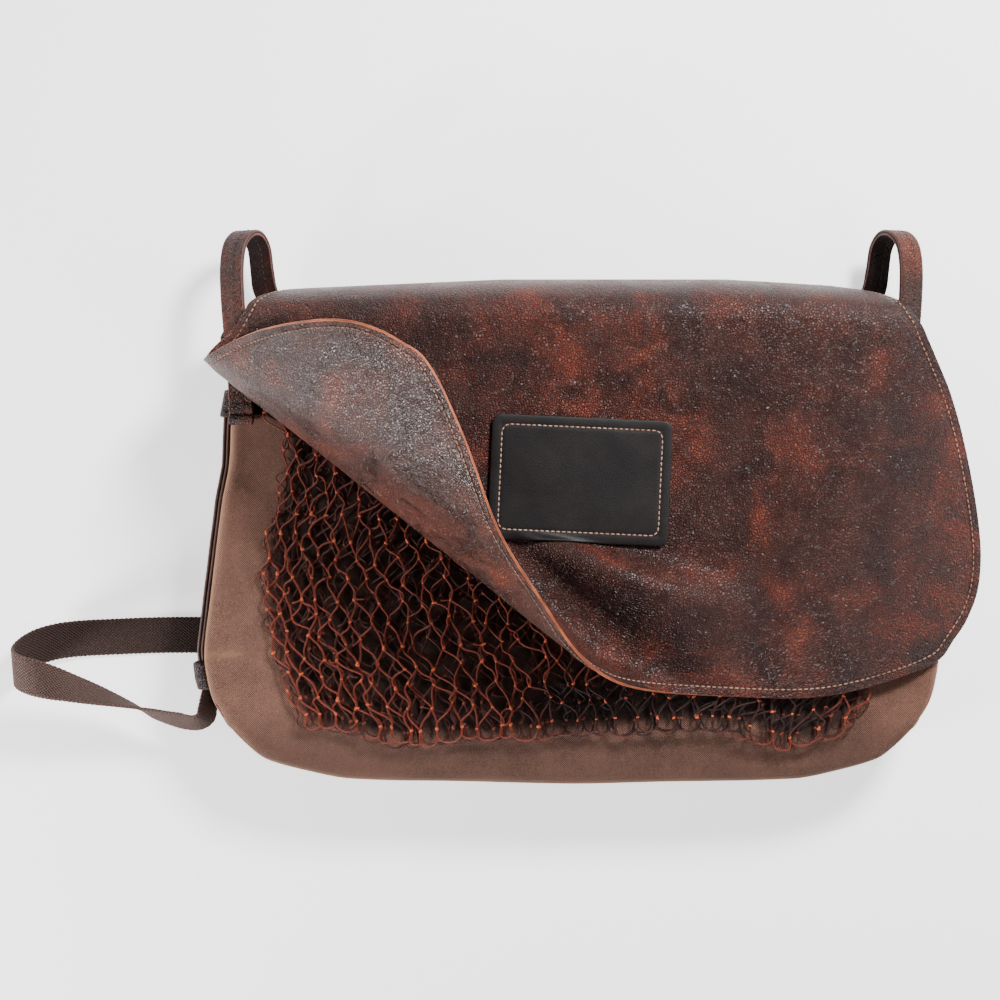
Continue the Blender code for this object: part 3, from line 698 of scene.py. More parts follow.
def roll_directions():
    """Unit directions out of the cone's apex, one for each small step past the start line."""
    direction = Vector((1, 0, 0))
    heading = Vector((0, 1, 0))
    found = [direction.copy()]
    for i in range(ROLL_STEPS):
        bend = between(ROLL_BEND, math.degrees(i * ROLL_STEP))
        turning = direction.cross(heading) * bend - direction
        angle = turning.length * ROLL_STEP
        turned = heading * math.cos(angle) + turning.normalized() * math.sin(angle)
        direction = (direction + (heading + turned) * (ROLL_STEP / 2)).normalized()
        heading = (turned - direction * turned.dot(direction)).normalized()
        found.append(direction.copy())
    return found


ROLL = roll_directions()


def tuck(y):
    """The flap's left edge is drawn in above the roll."""
    return 0.0100 * ease((y - 0.1010) / 0.0105)


def flap_drop(x, y):
    """How far the flap's edges sink below its middle."""
    reach = ease((abs(x) - 0.090) / 0.145 / 1.4) * 1.4
    side = 0.018 if x > 0 else 0.008
    low = min(max((-0.010 - y) / 0.083, 0.0), 1.0)
    return side * reach * reach + 0.0025 * low * low


def flap_point(x, y):
    """A point of the flap's middle surface, for a point of the flat leather."""
    along = Vector((math.cos(ROLL_START), math.sin(ROLL_START)))
    beyond = Vector((along.y, -along.x))
    arm = Vector((x, y)) - ROLL_APEX
    past = math.atan2(arm.dot(beyond), arm.dot(along))
    if past <= 0:
        spread = 0.003 * ease((x - 0.090) / 0.145)
        return Vector((x + spread, y, FLAP_Z - flap_drop(x, y)))
    place = past / ROLL_STEP
    i = min(int(place), ROLL_STEPS - 1)
    way = ROLL[i].lerp(ROLL[i + 1], place - i)
    foot = ROLL_APEX + along * arm.length
    flat = ROLL_APEX + (along * way.x + beyond * way.y) * arm.length
    return Vector((flat.x, flat.y, FLAP_Z - flap_drop(foot.x, foot.y) + way.z * arm.length))


# %% [markdown]
# The lower left of the flap is pulled by the roll: a trough runs beside the rolled border, and the
# leather stands up in a soft crest on its other side. Small swells elsewhere keep the leather from
# looking like sheet metal.

# %% Flap relief
FOLD_APEX = Vector((-0.0450, 0.0060))
FOLD_TURN = (  # degrees round the apex, share of the fold's height: trough, crest, patch
    (-68.0, 0.00), (-60.0, -0.12), (-53.0, -0.38), (-47.0, -0.34), (-41.0, 0.00), (-34.0, 0.55),
    (-28.0, 0.90), (-23.0, 1.00), (-19.0, 0.84), (-15.5, 0.42), (-12.5, 0.10), (-10.0, 0.00),
)
FOLD_REACH = (  # distance from the apex, height of the fold
    (0.012, 0.0000), (0.030, 0.0050), (0.050, 0.0110), (0.070, 0.0140), (0.095, 0.0145),
    (0.120, 0.0105), (0.150, 0.0045), (0.175, 0.0000),
)
STRETCH = 30  # shares times this are as wide as the degrees, which keeps their curve smooth
turn_curve = through([(turn, share * STRETCH, 0.0) for turn, share in FOLD_TURN])
fold_rows = [(spot.x, spot.y / STRETCH) for spot in (turn_curve(i / 90) for i in range(91))]
reach_curve = through([(reach, height, 0.0) for reach, height in FOLD_REACH])
reach_rows = [tuple(reach_curve(i / 40)[:2]) for i in range(41)]


def flap_relief(x, y):
    """How far the leather stands off its smooth shape: the fold fans out from one point."""
    arm = Vector((x, y)) - FOLD_APEX
    turn = math.degrees(math.atan2(arm.y, arm.x))
    height = between(reach_rows, arm.length) * ease((y + 0.0910) / 0.0200)
    rise = between(fold_rows, turn) * height
    if rise < 0:
        rise = -min(-rise, 0.8 * max(0.0, flap_point(x, y).z - FLAP_Z))
    return rise + 0.0008 * ripple(x, y, 60, 1.0) + 0.0003 * ripple(x, y, 22, 2.0)


half_top, turn_y = FLAP_SIDE[0]
flap_left, flap_right = FLAP_AXIS - half_top + tuck(turn_y), FLAP_AXIS + half_top
flap_top = through([(flap_left, turn_y), (FLAP_AXIS, turn_y), (flap_right, turn_y)])
flap_at = panel(flap_top, FLAP_SIDE, FLAP_CORNER_ROW, FLAP_AXIS, tuck)
BORDER = (0.0, 0.0010, 0.0022, 0.0034, 0.0042, 0.0050, 0.0058, 0.0072, 0.0095)
FLAP_PITCH = 0.0031
flap_across = steps(0.43, FLAP_PITCH, BORDER)
flap_down = [v for v in steps(0.20, FLAP_PITCH, BORDER) if v == 0 or v > 0.02]
flat_flap = flat_grid(flap_at, flap_across, flap_down)
flap_border = outline_of(flat_flap)
flap_border = flap_border[flap_border[:, 1] < turn_y - 1e-5]
off_border = distance_to(flat_flap, flap_border)
print("flat flap:", flat_flap.shape, "border points:", len(flap_border))

# %% Flap surface
ridge_reach = through([(reach, height, half) for reach, height, half in RIDGE_TURN])
ridge_rows = [i / 34 for i in range(1, 35)]


def ridge_point(u, share):
    """A point of the flap where it turns over the ridge and runs down behind."""
    start = flap_at(u, 0)
    front = flap_point(start.x, start.y)
    reach, height, half = ridge_reach(share)
    x = FLAP_AXIS + (start.x - FLAP_AXIS) * half / half_top
    x += (front.x - start.x) * height
    y = turn_y + (between(RIDGE, x) - LEATHER / 2 - turn_y) * reach
    return Vector((x, y, FLAP_BACK_Z + (front.z - FLAP_BACK_Z) * height))


def ridge_fade(share):
    """How much of the front's relief is left on the way over the ridge."""
    return max(0.0, 1 - share * 3)


def flap_normal(x, y):
    """The normal of the flap's middle surface, for a point of the flat leather."""
    here = flap_point(x, y)
    ahead = flap_point(x + 0.0004, y) - here
    up = flap_point(x, y + 0.0004) - here
    return ahead.cross(up).normalized()


flap_points = [[tuple(flap_point(x, y)) for x, y in row] for row in flat_flap]
flap_normals = [[tuple(flap_normal(x, y)) for x, y in row] for row in flat_flap]
relief = [[flap_relief(x, y) for x, y in row] for row in flat_flap]
off_side = [min(u, 1 - u) * 0.40 for u in flap_across]
for share in ridge_rows:
    flap_points.append([tuple(ridge_point(u, share)) for u in flap_across])
    relief.append([ridge_fade(share) * flap_relief(*flap_at(u, 0)) for u in flap_across])
flap_points.append([(x, FLAP_BACK_Y, z) for x, y, z in flap_points[-1]])
relief.append([0.0] * len(flap_across))
flap_points = np.array(flap_points)
edge_off = np.array([*off_border, *[off_side] * (len(ridge_rows) + 1)])
behind = surface_normals(flap_points)[len(flap_normals) :]
flap_normals = np.concatenate([np.array(flap_normals), behind])
flap_points += flap_normals * np.array(relief)[:, :, None]
skived = np.clip(edge_off / SKIVED_REACH, 0, 1)
flap_thick = SKIVED + (LEATHER - SKIVED) * skived * skived * (3 - 2 * skived)
flap_thick -= SEAM_GROOVE * np.exp(-(((edge_off - SEAM_INSET) / 0.0008) ** 2))
leather_flap = new_slab(
    "leather_flap_double",
    flap_points,
    flap_thick,
    DOUBLE_EDGE,
    [flap_leather, flap_lining, cut_edge, dark_edge],
    stand_in=flap_normals,
)
ride_as(leather_flap, "flap_leather", "leather_flap")
lay_as_sheet(flap_points)

# %% [markdown]
# ## Stitches
# A stitch is a short fat thread that dips into the leather at both ends. One is modelled from a
# sphere, and then set along each seam by its middle, its direction and the surface's normal.

# %% One stitch and one knot
def take_shape(name):
    """The active object's points and faces as arrays. The object itself is removed."""
    shape = bpy.context.object
    points = np.array([tuple(v.co) for v in shape.data.vertices])
    faces = [tuple(f.vertices) for f in shape.data.polygons]
    bpy.data.objects.remove(shape)
    print(name, "has", len(faces), "faces")
    return points, faces


bpy.ops.object.select_all(action="DESELECT")
turned = (0, math.pi / 2, 0)
bpy.ops.mesh.primitive_uv_sphere_add(segments=8, ring_count=6, radius=1, rotation=turned)
bpy.ops.object.transform_apply(location=False, rotation=True, scale=False)
bpy.ops.object.mode_set(mode="EDIT")
bpy.ops.mesh.select_all(action="SELECT")
bpy.ops.transform.resize(value=(0.5, 0.19, 0.15))
bpy.ops.object.mode_set(mode="OBJECT")
STITCH = take_shape("stitch")


def stamp(name, shape, places, materials, facts=None):
    """One piece of many copies of a shape. A place is (middle, direction, normal, size)."""
    points, faces = shape
    corners = []
    every = []
    for middle, direction, normal, size in places:
        direction = np.asarray(direction) / np.linalg.norm(direction)
        side = np.cross(normal, direction)
        side /= np.linalg.norm(side)
        up = np.cross(direction, side)
        start = len(corners) * len(points)
        corners.append(np.asarray(middle) + points * size @ np.array([direction, side, up]))
        every += [tuple(start + k for k in face) for face in faces]
    mesh = bpy.data.meshes.new(name)
    mesh.from_pydata(np.concatenate(corners).tolist(), [], every)
    for label, value in (facts or {}).items():
        store_fact(mesh, label, np.full(len(mesh.vertices), value))
    return keep_piece(mesh, name, materials)


def seam_places(line, normals, pitch, long, lift, start=0.0):
    """Stitches of one length at one pitch along a line on a surface, from a share of the pitch."""
    line = np.asarray(line)
    marks = np.concatenate([[0], np.cumsum(np.linalg.norm(np.diff(line, axis=0), axis=1))])
    places = []
    for k in range(int(marks[-1] / pitch)):
        here = (k + 0.5 + start) * pitch
        spots = [
            np.array([np.interp(at, marks, line[:, axis]) for axis in range(3)])
            for at in (here - long / 2, here + long / 2)
        ]
        normal = np.array([np.interp(here, marks, normals[:, axis]) for axis in range(3)])
        middle = (spots[0] + spots[1]) / 2 + normal * lift
        places.append((middle, spots[1] - spots[0], normal, long))
    return places


# %% Flap seam
split = int(np.argmax(np.linalg.norm(np.diff(flap_border, axis=0), axis=1))) + 1
seam_edge = np.concatenate([flap_border[split:], flap_border[:split]])
tangent = np.gradient(seam_edge, axis=0)
tangent /= np.maximum(np.linalg.norm(tangent, axis=1, keepdims=True), 1e-9)
inset = seam_edge + np.stack([-tangent[:, 1], tangent[:, 0]], axis=1) * SEAM_INSET
inset = inset[inset[:, 1] < turn_y - 0.001]


def flap_frame(x, y):
    """The point and normal of the finished flap's middle surface."""
    normal = flap_normal(x, y)
    return flap_point(x, y) + normal * flap_relief(x, y), normal


def ridge_frame(u, share):
    """The same where the flap turns over the ridge."""
    here = ridge_point(u, share)
    beside = ridge_point(u + 0.002, share) - here
    normal = beside.cross(ridge_point(u, share + 0.002) - here).normalized()
    return here + normal * ridge_fade(share) * flap_relief(*flap_at(u, 0)), normal


over_ridge = [share for share in ridge_rows if share < 0.8]
seam_u = SEAM_INSET / 0.42
frames = [ridge_frame(seam_u, share) for share in reversed(over_ridge)]
frames += [flap_frame(x, y) for x, y in inset]
frames += [ridge_frame(1 - seam_u, share) for share in over_ridge]
seam_line, seam_normal = (np.array([tuple(f[k]) for f in frames]) for k in (0, 1))
FLAP_STITCH = 0.0033  # from one stitch to the next
FLAP_SEAMS = (  # name, length, lift, start as a share of the pitch, thread
    ("flap_seam_", 0.0025, 0.0010, 0.0, flap_thread),
    # dark marks between the stitches stand for the holes: painted shade
    ("flap_seam_holes_", 0.0019, 0.0009, 0.5, dark_thread_and_hole_shade),
)
for side, up in (("outer", 1.0), ("inner", -1.0)):
    for name, long, lift, start, thread in FLAP_SEAMS:
        places = seam_places(seam_line, seam_normal * up, FLAP_STITCH, long, lift, start)
        ride_as(stamp(name + side, STITCH, places, [thread]), "flap_leather")
print("flap stitches on each side:", len(places))

# %% [markdown]
# ## The patch
# A plate of firm dark leather is sewn on the flap with a pale thread. It is left bare. Its corners
# are round: near each corner the square grid is bent so that its rows follow quarter circles.

# %% Patch
PATCH_WIDTH = 0.1020
PATCH_HEIGHT = 0.0705
PATCH_ROUND = 0.0050
PATCH_AT = Vector((0.0040, 0.0308))
PATCH_TURN = math.radians(-2.6)


def patch_point(x, y, height):
    """A point over the flap, from its place on the patch."""
    corner = (abs(x) - PATCH_WIDTH / 2 + PATCH_ROUND, abs(y) - PATCH_HEIGHT / 2 + PATCH_ROUND)
    if min(corner) > 0:
        scale = max(corner) / math.hypot(*corner)
        x = math.copysign(PATCH_WIDTH / 2 - PATCH_ROUND + corner[0] * scale, x)
        y = math.copysign(PATCH_HEIGHT / 2 - PATCH_ROUND + corner[1] * scale, y)
    turned = Vector((x, y))
    turned.rotate(Matrix.Rotation(PATCH_TURN, 2))
    spot = PATCH_AT + turned
    under = flap_point(spot.x, spot.y)
    return (under.x, under.y, under.z + flap_relief(spot.x, spot.y) + height)


PATCH_BORDER = (0.0, 0.0007, 0.0016, 0.0030, 0.0044, 0.0050, 0.0056, 0.0062, 0.0080)
PATCH_INSET = 0.0053
PATCH_THICK = 0.0024
PATCH_LIFT = 0.0018  # its middle over the flap's face
PATCH_PITCH = 0.003
patch_across = [(u - 0.5) * PATCH_WIDTH for u in steps(PATCH_WIDTH, PATCH_PITCH, PATCH_BORDER)]
patch_down = [(v - 0.5) * PATCH_HEIGHT for v in steps(PATCH_HEIGHT, PATCH_PITCH, PATCH_BORDER)]
patch_points = []
for y in patch_down:
    line = []
    for x in patch_across:
        d = min(PATCH_WIDTH / 2 - abs(x), PATCH_HEIGHT / 2 - abs(y))
        dip = 0.0002 * bell(d / 0.0008) + 0.00018 * bell((d - PATCH_INSET) / 0.0006)
        line.append(patch_point(x, y, LEATHER / 2 + PATCH_LIFT - dip))
    patch_points.append(line)
patch = new_slab("bare_patch", patch_points, PATCH_THICK, PRESSED_EDGE, [patch_leather] * 3)
ride_as(patch, "dark_leather", "patch")

turn_in = 0.0045
half_x = PATCH_WIDTH / 2 - PATCH_INSET - turn_in
half_y = PATCH_HEIGHT / 2 - PATCH_INSET - turn_in
round_corners = []
for side_x, side_y, first in ((1, 1, 0), (-1, 1, 90), (-1, -1, 180), (1, -1, 270)):
    for step in range(7):
        angle = math.radians(first + 15 * step)
        x = side_x * half_x + turn_in * math.cos(angle)
        y = side_y * half_y + turn_in * math.sin(angle)
        round_corners.append(Vector((x, y)))
round_corners.append(round_corners[0])
patch_seam = []
patch_face = LEATHER / 2 + PATCH_LIFT + PATCH_THICK / 2
for start, end in zip(round_corners, round_corners[1:]):
    count = max(1, round((end - start).length / 0.002))
    for k in range(count):
        patch_seam.append(patch_point(*start.lerp(end, k / count), patch_face))
patch_seam = np.array([*patch_seam, patch_seam[0]])
upright = np.tile((0.0, 0.0, 1.0), (len(patch_seam), 1))
PATCH_STITCH = 0.0031
PATCH_SEAMS = (  # name, length, lift, start as a share of the pitch, thread
    ("patch_seam", 0.0024, -0.0001, 0.0, beige_thread),
    # dark marks between the stitches stand for the holes: painted shade
    ("patch_seam_holes", 0.0016, -0.0003, 0.5, dark_thread_and_hole_shade),
)
for name, long, lift, start, thread in PATCH_SEAMS:
    places = seam_places(patch_seam, upright, PATCH_STITCH, long, lift, start)
    ride_as(stamp(name, STITCH, places, [thread]), "dark_leather")

# %% [markdown]
# ## Loops, side straps and keepers
# Each carrying loop is one band of double leather, sewn flat to the front panel's corner, up and
# over a crown and down to the back panel. The side straps are double leather on edge, with the seam
# between their layers towards the camera, and short leather keepers go round them.

# %% Bands
def band_points(rows, offsets):
    """A grid from middle points and directions of the width, at these offsets."""
    return [[tuple(spot + across * offset) for offset in offsets] for spot, across in rows]


LOOP_BAND = 0.0130
LOOP_THICK = 0.0036
LOOP_ROWS = (  # half width, y, z of the band's middle, from the front end to the back end
    (0.1912, 0.0640, 0.0562), (0.1913, 0.0760, 0.0552), (0.1925, 0.0950, 0.0540),
    (0.1950, 0.1150, 0.0520), (0.1972, 0.1380, 0.0495), (0.1977, 0.1560, 0.0480),
    (0.1962, 0.1690, 0.0440), (0.1920, 0.1757, 0.0375), (0.1880, 0.1757, 0.0280),
    (0.1848, 0.1690, 0.0215), (0.1834, 0.1560, 0.0175), (0.1820, 0.1450, 0.0140),
    (0.1775, 0.1350, 0.0095), (0.1735, 0.1270, 0.0079), (0.1725, 0.1190, 0.0078),
)
band_offsets = [(w - 0.5) * LOOP_BAND for w in steps(LOOP_BAND, 0.0016, (0.0, 0.0006, 0.0014))]
LOOP_STITCH = 0.0036
# the second material darkens the loops' under face: painted shade
loop_materials = [loop_leather, loop_shaded_underside, dark_edge, dark_thread_and_hole_shade]
for name, hand in (("loop_left", -1), ("loop_right", 1)):
    route = through([(hand * x, y, z) for x, y, z in LOOP_ROWS])
    rows = []
    for s in steps(route.length, 0.0013):
        lean = (9.0 + 15.5 * ease((s - 0.06) / 0.30)) * (1 - ease((s - 0.76) / 0.16))
        lean = math.radians(lean)
        buckle = 0.0009 * math.sin(s * route.length / 0.0011) * (1 - ease(s / 0.12))
        across = Vector((math.cos(lean), 0, -hand * math.sin(lean)))
        rows.append((route(s) + Vector((0, 0, buckle)), across))
    grid = band_points(rows, band_offsets)
    loop = new_slab(name + "_band", grid, LOOP_THICK, DOUBLE_EDGE, loop_materials)
    ride_as(loop, "flap_leather", name)
    line = np.array([tuple(spot + across * 0.0018) for spot, across in rows])
    facing = np.cross([tuple(across) for spot, across in rows], np.gradient(line, axis=0))
    facing /= np.linalg.norm(facing, axis=1, keepdims=True)
    places = []
    for normals in (facing, -facing):
        places += seam_places(line, normals, LOOP_STITCH, 0.0020, LOOP_THICK / 2)
    ride_as(stamp(name + "_seam", STITCH, places, [dark_thread_and_hole_shade]), "flap_leather")

# %% Side straps
WALL = 0.0015  # how far the gusset's face stands out beside the body's outline
STRAP_GAP = 0.0007
SIDE_STRAP = 0.0042
SIDE_STRAP_WIDTH = 0.0200
SIDE_STRAP_Z = 0.0290
SIDE_STRAP_TOP = 0.1215
strap_materials = [strap_leather, strap_leather, strap_edge, strap_groove]
side_offsets = steps(SIDE_STRAP_WIDTH, 0.002, (0.0, 0.0008, 0.0018))
side_offsets = [(w - 0.5) * SIDE_STRAP_WIDTH for w in side_offsets]
for name, hand, end_y in (("side_strap_left", -1, -0.0838), ("side_strap_right", 1, -0.0680)):
    rows = []
    for s in steps(SIDE_STRAP_TOP - end_y, 0.003, (0.0, 0.001)):
        y = end_y + s * (SIDE_STRAP_TOP - end_y)
        eye = 0.0022 * bell((y - 0.1155) / 0.0060)
        flare = 0.0125 * ease((y - 0.0840) / 0.032)
        x = body_half_width(y) + WALL + STRAP_GAP + SIDE_STRAP / 2 + eye + flare
        x += 0.0002 * ripple(y, 0.0, 25, hand)
        rows.append((Vector((hand * x, y, SIDE_STRAP_Z)), Vector((0, 0, 1))))
    grid = band_points(rows, side_offsets)
    strap = new_slab(name + "_double", grid, SIDE_STRAP, DOUBLE_EDGE, strap_materials)
    ride_as(strap, "strap_leather", name)

# %% Keepers
KEEPER = 0.0020
KEEPER_LENGTH = 0.0138
KEEPERS = (  # name, side, y of its middle, how far its face stands off the strap
    ("keeper_upper_left", -1, 0.0760, 0.0002),
    ("keeper_upper_right", 1, 0.0760, 0.0012),
    ("keeper_lower_left", -1, -0.0838, 0.0012),
    ("keeper_lower_right", 1, -0.0440, 0.0012),
)
outer = STRAP_GAP + SIDE_STRAP + 0.0003 + KEEPER / 2
half = SIDE_STRAP_WIDTH / 2 + 0.0009 + KEEPER / 2
for name, hand, y, stand_off in KEEPERS:
    rise = (
        (0.0012, half),
        (outer * 0.8, half),
        (outer + stand_off * 0.5, half * 0.90),
        (outer + stand_off, half * 0.45),
    )
    profile = through([(off, -z) for off, z in rise] + [*reversed(rise)])
    line = [profile(s) for s in steps(profile.length, 0.0012)]
    grid = []
    for v in steps(KEEPER_LENGTH, 0.0016, (0.0, 0.0006)):
        at_y = y + (v - 0.5) * KEEPER_LENGTH
        wall = body_half_width(at_y) + WALL
        grid.append([(hand * (wall + spot.x), at_y, SIDE_STRAP_Z + spot.y) for spot in line])
    keeper = new_slab(name + "_band", grid, KEEPER, ROUND_EDGE, [strap_leather] * 3)
    ride_as(keeper, "strap_leather", name)

# %% [markdown]
# ## The waist strap
# Cotton webbing comes out of the left lower keeper, bends, twists over, turns back in a wide loop
# and runs flat on the floor behind the bag to the other side. Its route is a list of places with
# the direction of its width, so the twist is one smooth turn. The weft scallops its selvedge.

# %% Waist strap
WEBBING = 0.0018
SHADE_END = 18  # the row by which the lower run has come out of the shade
LEVEL_ROWS = (  # x, z of its level part, from the right keeper to behind the bag's left side
    (0.2167, 0.0187), (0.2167, 0.0120), (0.2166, 0.0055), (0.2155, 0.0024), (0.2128, 0.0011),
    (0.2080, 0.0010), (0.1900, 0.0010), (0.1000, 0.0010), (0.0000, 0.0010), (-0.1000, 0.0010),
    (-0.1900, 0.0010), (-0.2215, 0.0010),
)
STRAP_ROWS = (  # x, y, z, azimuth and elevation of the width, in degrees
    *((x, STRAP_Y, z, 90, 0) for x, z in LEVEL_ROWS),
    (-0.2500, -0.0622, 0.0010, 90, 0),
    (-0.2760, -0.0632, 0.0012, 91, 0),
    (-0.2930, -0.0640, 0.0018, 92, 0),
    (-0.3070, -0.0655, 0.0042, 93, 0),
    (-0.3180, -0.0684, 0.0085, 95, 0),
    (-0.3246, -0.0718, 0.0140, 95, 0),
    (-0.3286, -0.0756, 0.0205, 95, 0),
    (-0.3295, -0.0788, 0.0270, 95, 0),
    (-0.3262, -0.0815, 0.0335, 94, -2),
    (-0.3190, -0.0838, 0.0385, 92, -8),
    (-0.3100, -0.0861, 0.0400, 86, -22),
    (-0.2950, -0.0906, 0.0380, 78, -47),
    (-0.2784, -0.0959, 0.0335, 73, -67),
    (-0.2588, -0.1025, 0.0285, 72, -92),
    (-0.2467, -0.1072, 0.0265, 74, -110),
    (-0.2310, -0.1112, 0.0265, 80, -120),
    (-0.2215, -0.1124, 0.0270, 105, -118),
    (-0.2160, -0.1094, 0.0275, 140, -116),
    (-0.2146, -0.1035, 0.0280, 170, -113),
    (-0.2150, -0.0975, 0.0285, 180, -102),
    (-0.2153, -0.0922, 0.0290, 180, -92),
    (-0.2156, -0.0842, 0.0290, 180, -90),
)
strap_route = through([row[:3] for row in STRAP_ROWS])
marks = [0.0]
for start, end in zip(STRAP_ROWS, STRAP_ROWS[1:]):
    marks.append(marks[-1] + (Vector(end[:3]) - Vector(start[:3])).length)
width_rows = [(mark / marks[-1], row[3], row[4]) for mark, row in zip(marks, STRAP_ROWS)]
strap_points = []
strap_run = []
webbing_offsets = [w - 0.5 for w in steps(WEBBING_WIDTH, 0.0016, (0.0, 0.0007))]
for s in steps(strap_route.length, 0.0014):
    azimuth, rise = (math.radians(between(width_rows, s, k)) for k in (1, 2))
    level = math.cos(rise)
    across = Vector((level * math.cos(azimuth), level * math.sin(azimuth), math.sin(rise)))
    scallop = 0.00022 * math.sin(2 * math.pi * s * strap_route.length / 0.0028)
    spot = strap_route(s)
    wide = WEBBING_WIDTH - 0.0010 + 2 * scallop
    strap_points.append([tuple(spot + across * (w * wide)) for w in webbing_offsets])
    # the lower run is painted darker until SHADE_END: painted shade
    shade = 0.62 * (1 - ease((s * marks[-1] - marks[SHADE_END]) / 0.012))
    strap_run.append([(s * strap_route.length, w * WEBBING_WIDTH, shade) for w in webbing_offsets])
facts = {"run": strap_run}
waist_strap = new_slab(
    "waist_strap_webbing", strap_points, WEBBING, ROUND_EDGE, [webbing] * 3, facts
)
ride_as(waist_strap, "webbing", "waist_strap")
lay_as_sheet(strap_points)
print("strap length:", round(strap_route.length, 3))

# %% [markdown]
# ## The net
# The pocket is a hand-knotted net: every mesh is four cords between four knots, and it lies bunched
# in three layers. Each layer is a lattice of knots that has slumped, with the cords between them
# bent by their own spring. The two lower layers take a darker copy of the cord, painted shade under
# the upper one. A few cut ends curl away from their knots.

# %% Net lattice
NET_TOP = 0.0700
NET_SPANS = 8
SPAN_SHARES = [k / NET_SPANS for k in range(NET_SPANS + 1)]
CORD_SIDES = 5


def shaken(a, b, seed):
    """A repeatable value from -1 to 1 for a place in the lattice."""
    return noise.noise(Vector((a * 1.73 + 0.31, b * 2.19 + 0.57, seed * 7.7 + 0.13))) * 1.6


def net_place(column, row, columns, rows, seed):
    """Where a knot lies: rows from the top down, denser towards the left edge."""
    u = (column / columns) ** 1.12
    v = row / rows
    x = -0.17 + u * 0.34
    foot = between(NET_FOOT, x)
    y = NET_TOP + v * (foot + 0.0060 - NET_TOP)
    left = between(NET_LEFT, y)
    right = between(NET_RIGHT, y)
    x = left + u * (right - left)
    inside = min(1.0, 7 * u, 7 * (1 - u))
    x += (0.0042 * inside + 0.0012) * shaken(column, row, seed)
    y += 0.0034 * shaken(column, row, seed + 1) * (1 if v < 1 else 0.7)
    return x, y


def deep_shade(x, y):
    """How much painted shade darkens the cords under the flap's lower edge, where they lie bunched.
    """
    beside = ease((x + 0.035) / 0.03) * ease((0.165 - x) / 0.03)
    return 0.85 * beside * ease((-0.078 - y) / 0.012) * ease((y + 0.122) / 0.012)


def tubes(paths, radius):
    """Points, faces and run of thin tubes on paths that lie nearly level."""
    corners, faces, run = [], [], []
    shares = np.arange(CORD_SIDES) / CORD_SIDES
    turns = 2 * math.pi * (shares + 0.5 / CORD_SIDES) - math.pi / 2
    for path in paths:
        path = np.asarray(path)
        way = np.gradient(path, axis=0)
        way /= np.linalg.norm(way, axis=1, keepdims=True)
        side = np.cross(way, (0, 0, 1.0))
        side /= np.maximum(np.linalg.norm(side, axis=1, keepdims=True), 1e-9)
        up = np.cross(side, way)
        ring = side[:, None] * np.cos(turns)[:, None] + up[:, None] * np.sin(turns)[:, None]
        ids = len(run) + np.arange(len(path) * CORD_SIDES).reshape(-1, CORD_SIDES)
        beside = np.roll(ids, -1, axis=1)
        corners.append((path[:, None] + radius * ring).reshape(-1, 3))
        quads = np.stack([ids[:-1], ids[1:], beside[1:], beside[:-1]], axis=2)
        faces += [*quads.reshape(-1, 4).tolist(), ids[0].tolist(), ids[-1, ::-1].tolist()]
        far = np.concatenate([[0], np.cumsum(np.linalg.norm(np.diff(path, axis=0), axis=1))])
        for at, (x, y, z) in zip(far, path):
            run += [(at, share, deep_shade(x, y)) for share in shares]
    return np.concatenate(corners), faces, run


def cord_path(start, end, column, row, side, seed, loose):
    """A cord between two knots, bent sideways, lengthwise and upwards at both ends."""
    drop = start.y - end.y
    bows = [0.0042 * loose * shaken(column * 3 + side, row * 2 + n, seed + 3) for n in (0, 1)]
    sags = [0.0030 * loose * shaken(column * 2 + n, row * 3 + side, seed + 8) for n in (0, 1)]
    rise = [0.0004 + 0.0016 * shaken(column, row * 3 + side, seed + 4 + n) for n in (0, 1)]
    first = start + Vector((side * 0.0022 + bows[0], sags[0] - 0.42 * drop, rise[0]))
    second = end + Vector((side * 0.0010 + bows[1], sags[1] + 0.46 * drop, rise[1]))
    path = []
    for t in SPAN_SHARES:
        spot = start * (1 - t) ** 3 + first * 3 * t * (1 - t) ** 2
        spot += second * 3 * t * t * (1 - t) + end * t**3
        path.append(tuple(spot))
    return path


def foot_loop(start, end, dip):
    """A loose loop that hangs from two knots of the lowest row."""
    path = []
    for t in SPAN_SHARES:
        fall = 4 * t * (1 - t)
        spot = start.lerp(end, t)
        sway = 0.0022 * math.sin(2 * math.pi * t)
        path.append((spot.x - sway, spot.y - dip * fall, spot.z + 0.0006 * fall))
    return path


def curled_end(start, angle, curl):
    """A cut end that curls away from its knot."""
    path = [tuple(start)]
    for _ in range(NET_SPANS):
        angle += curl / NET_SPANS
        step = Vector((math.cos(angle), math.sin(angle), 0.15)) * 0.0007
        path.append(tuple(Vector(path[-1]) + step))
    return path


bpy.ops.mesh.primitive_ico_sphere_add(subdivisions=2, radius=0.5)
bpy.ops.object.mode_set(mode="EDIT")
bpy.ops.mesh.select_all(action="SELECT")
bpy.ops.transform.resize(value=(1.0, 0.72, 0.72))
bpy.ops.mesh.vertices_smooth(factor=0.3)
bpy.ops.object.mode_set(mode="OBJECT")
KNOT = take_shape("knot")

# %% Net layers
NET_LAYERS = (  # name, columns, rows, height over the canvas, seed, cord, material, looseness
    ("net_upper", 29, 15, 0.0036, 1, 0.00115, net_cord, 1.5),
    # the middle and lower layers take the darker cord: painted shade
    ("net_middle", 27, 14, 0.0024, 5, 0.00108, under_cord, 1.7),
    ("net_lower", 26, 17, 0.0010, 9, 0.00108, under_cord, 1.9),
)


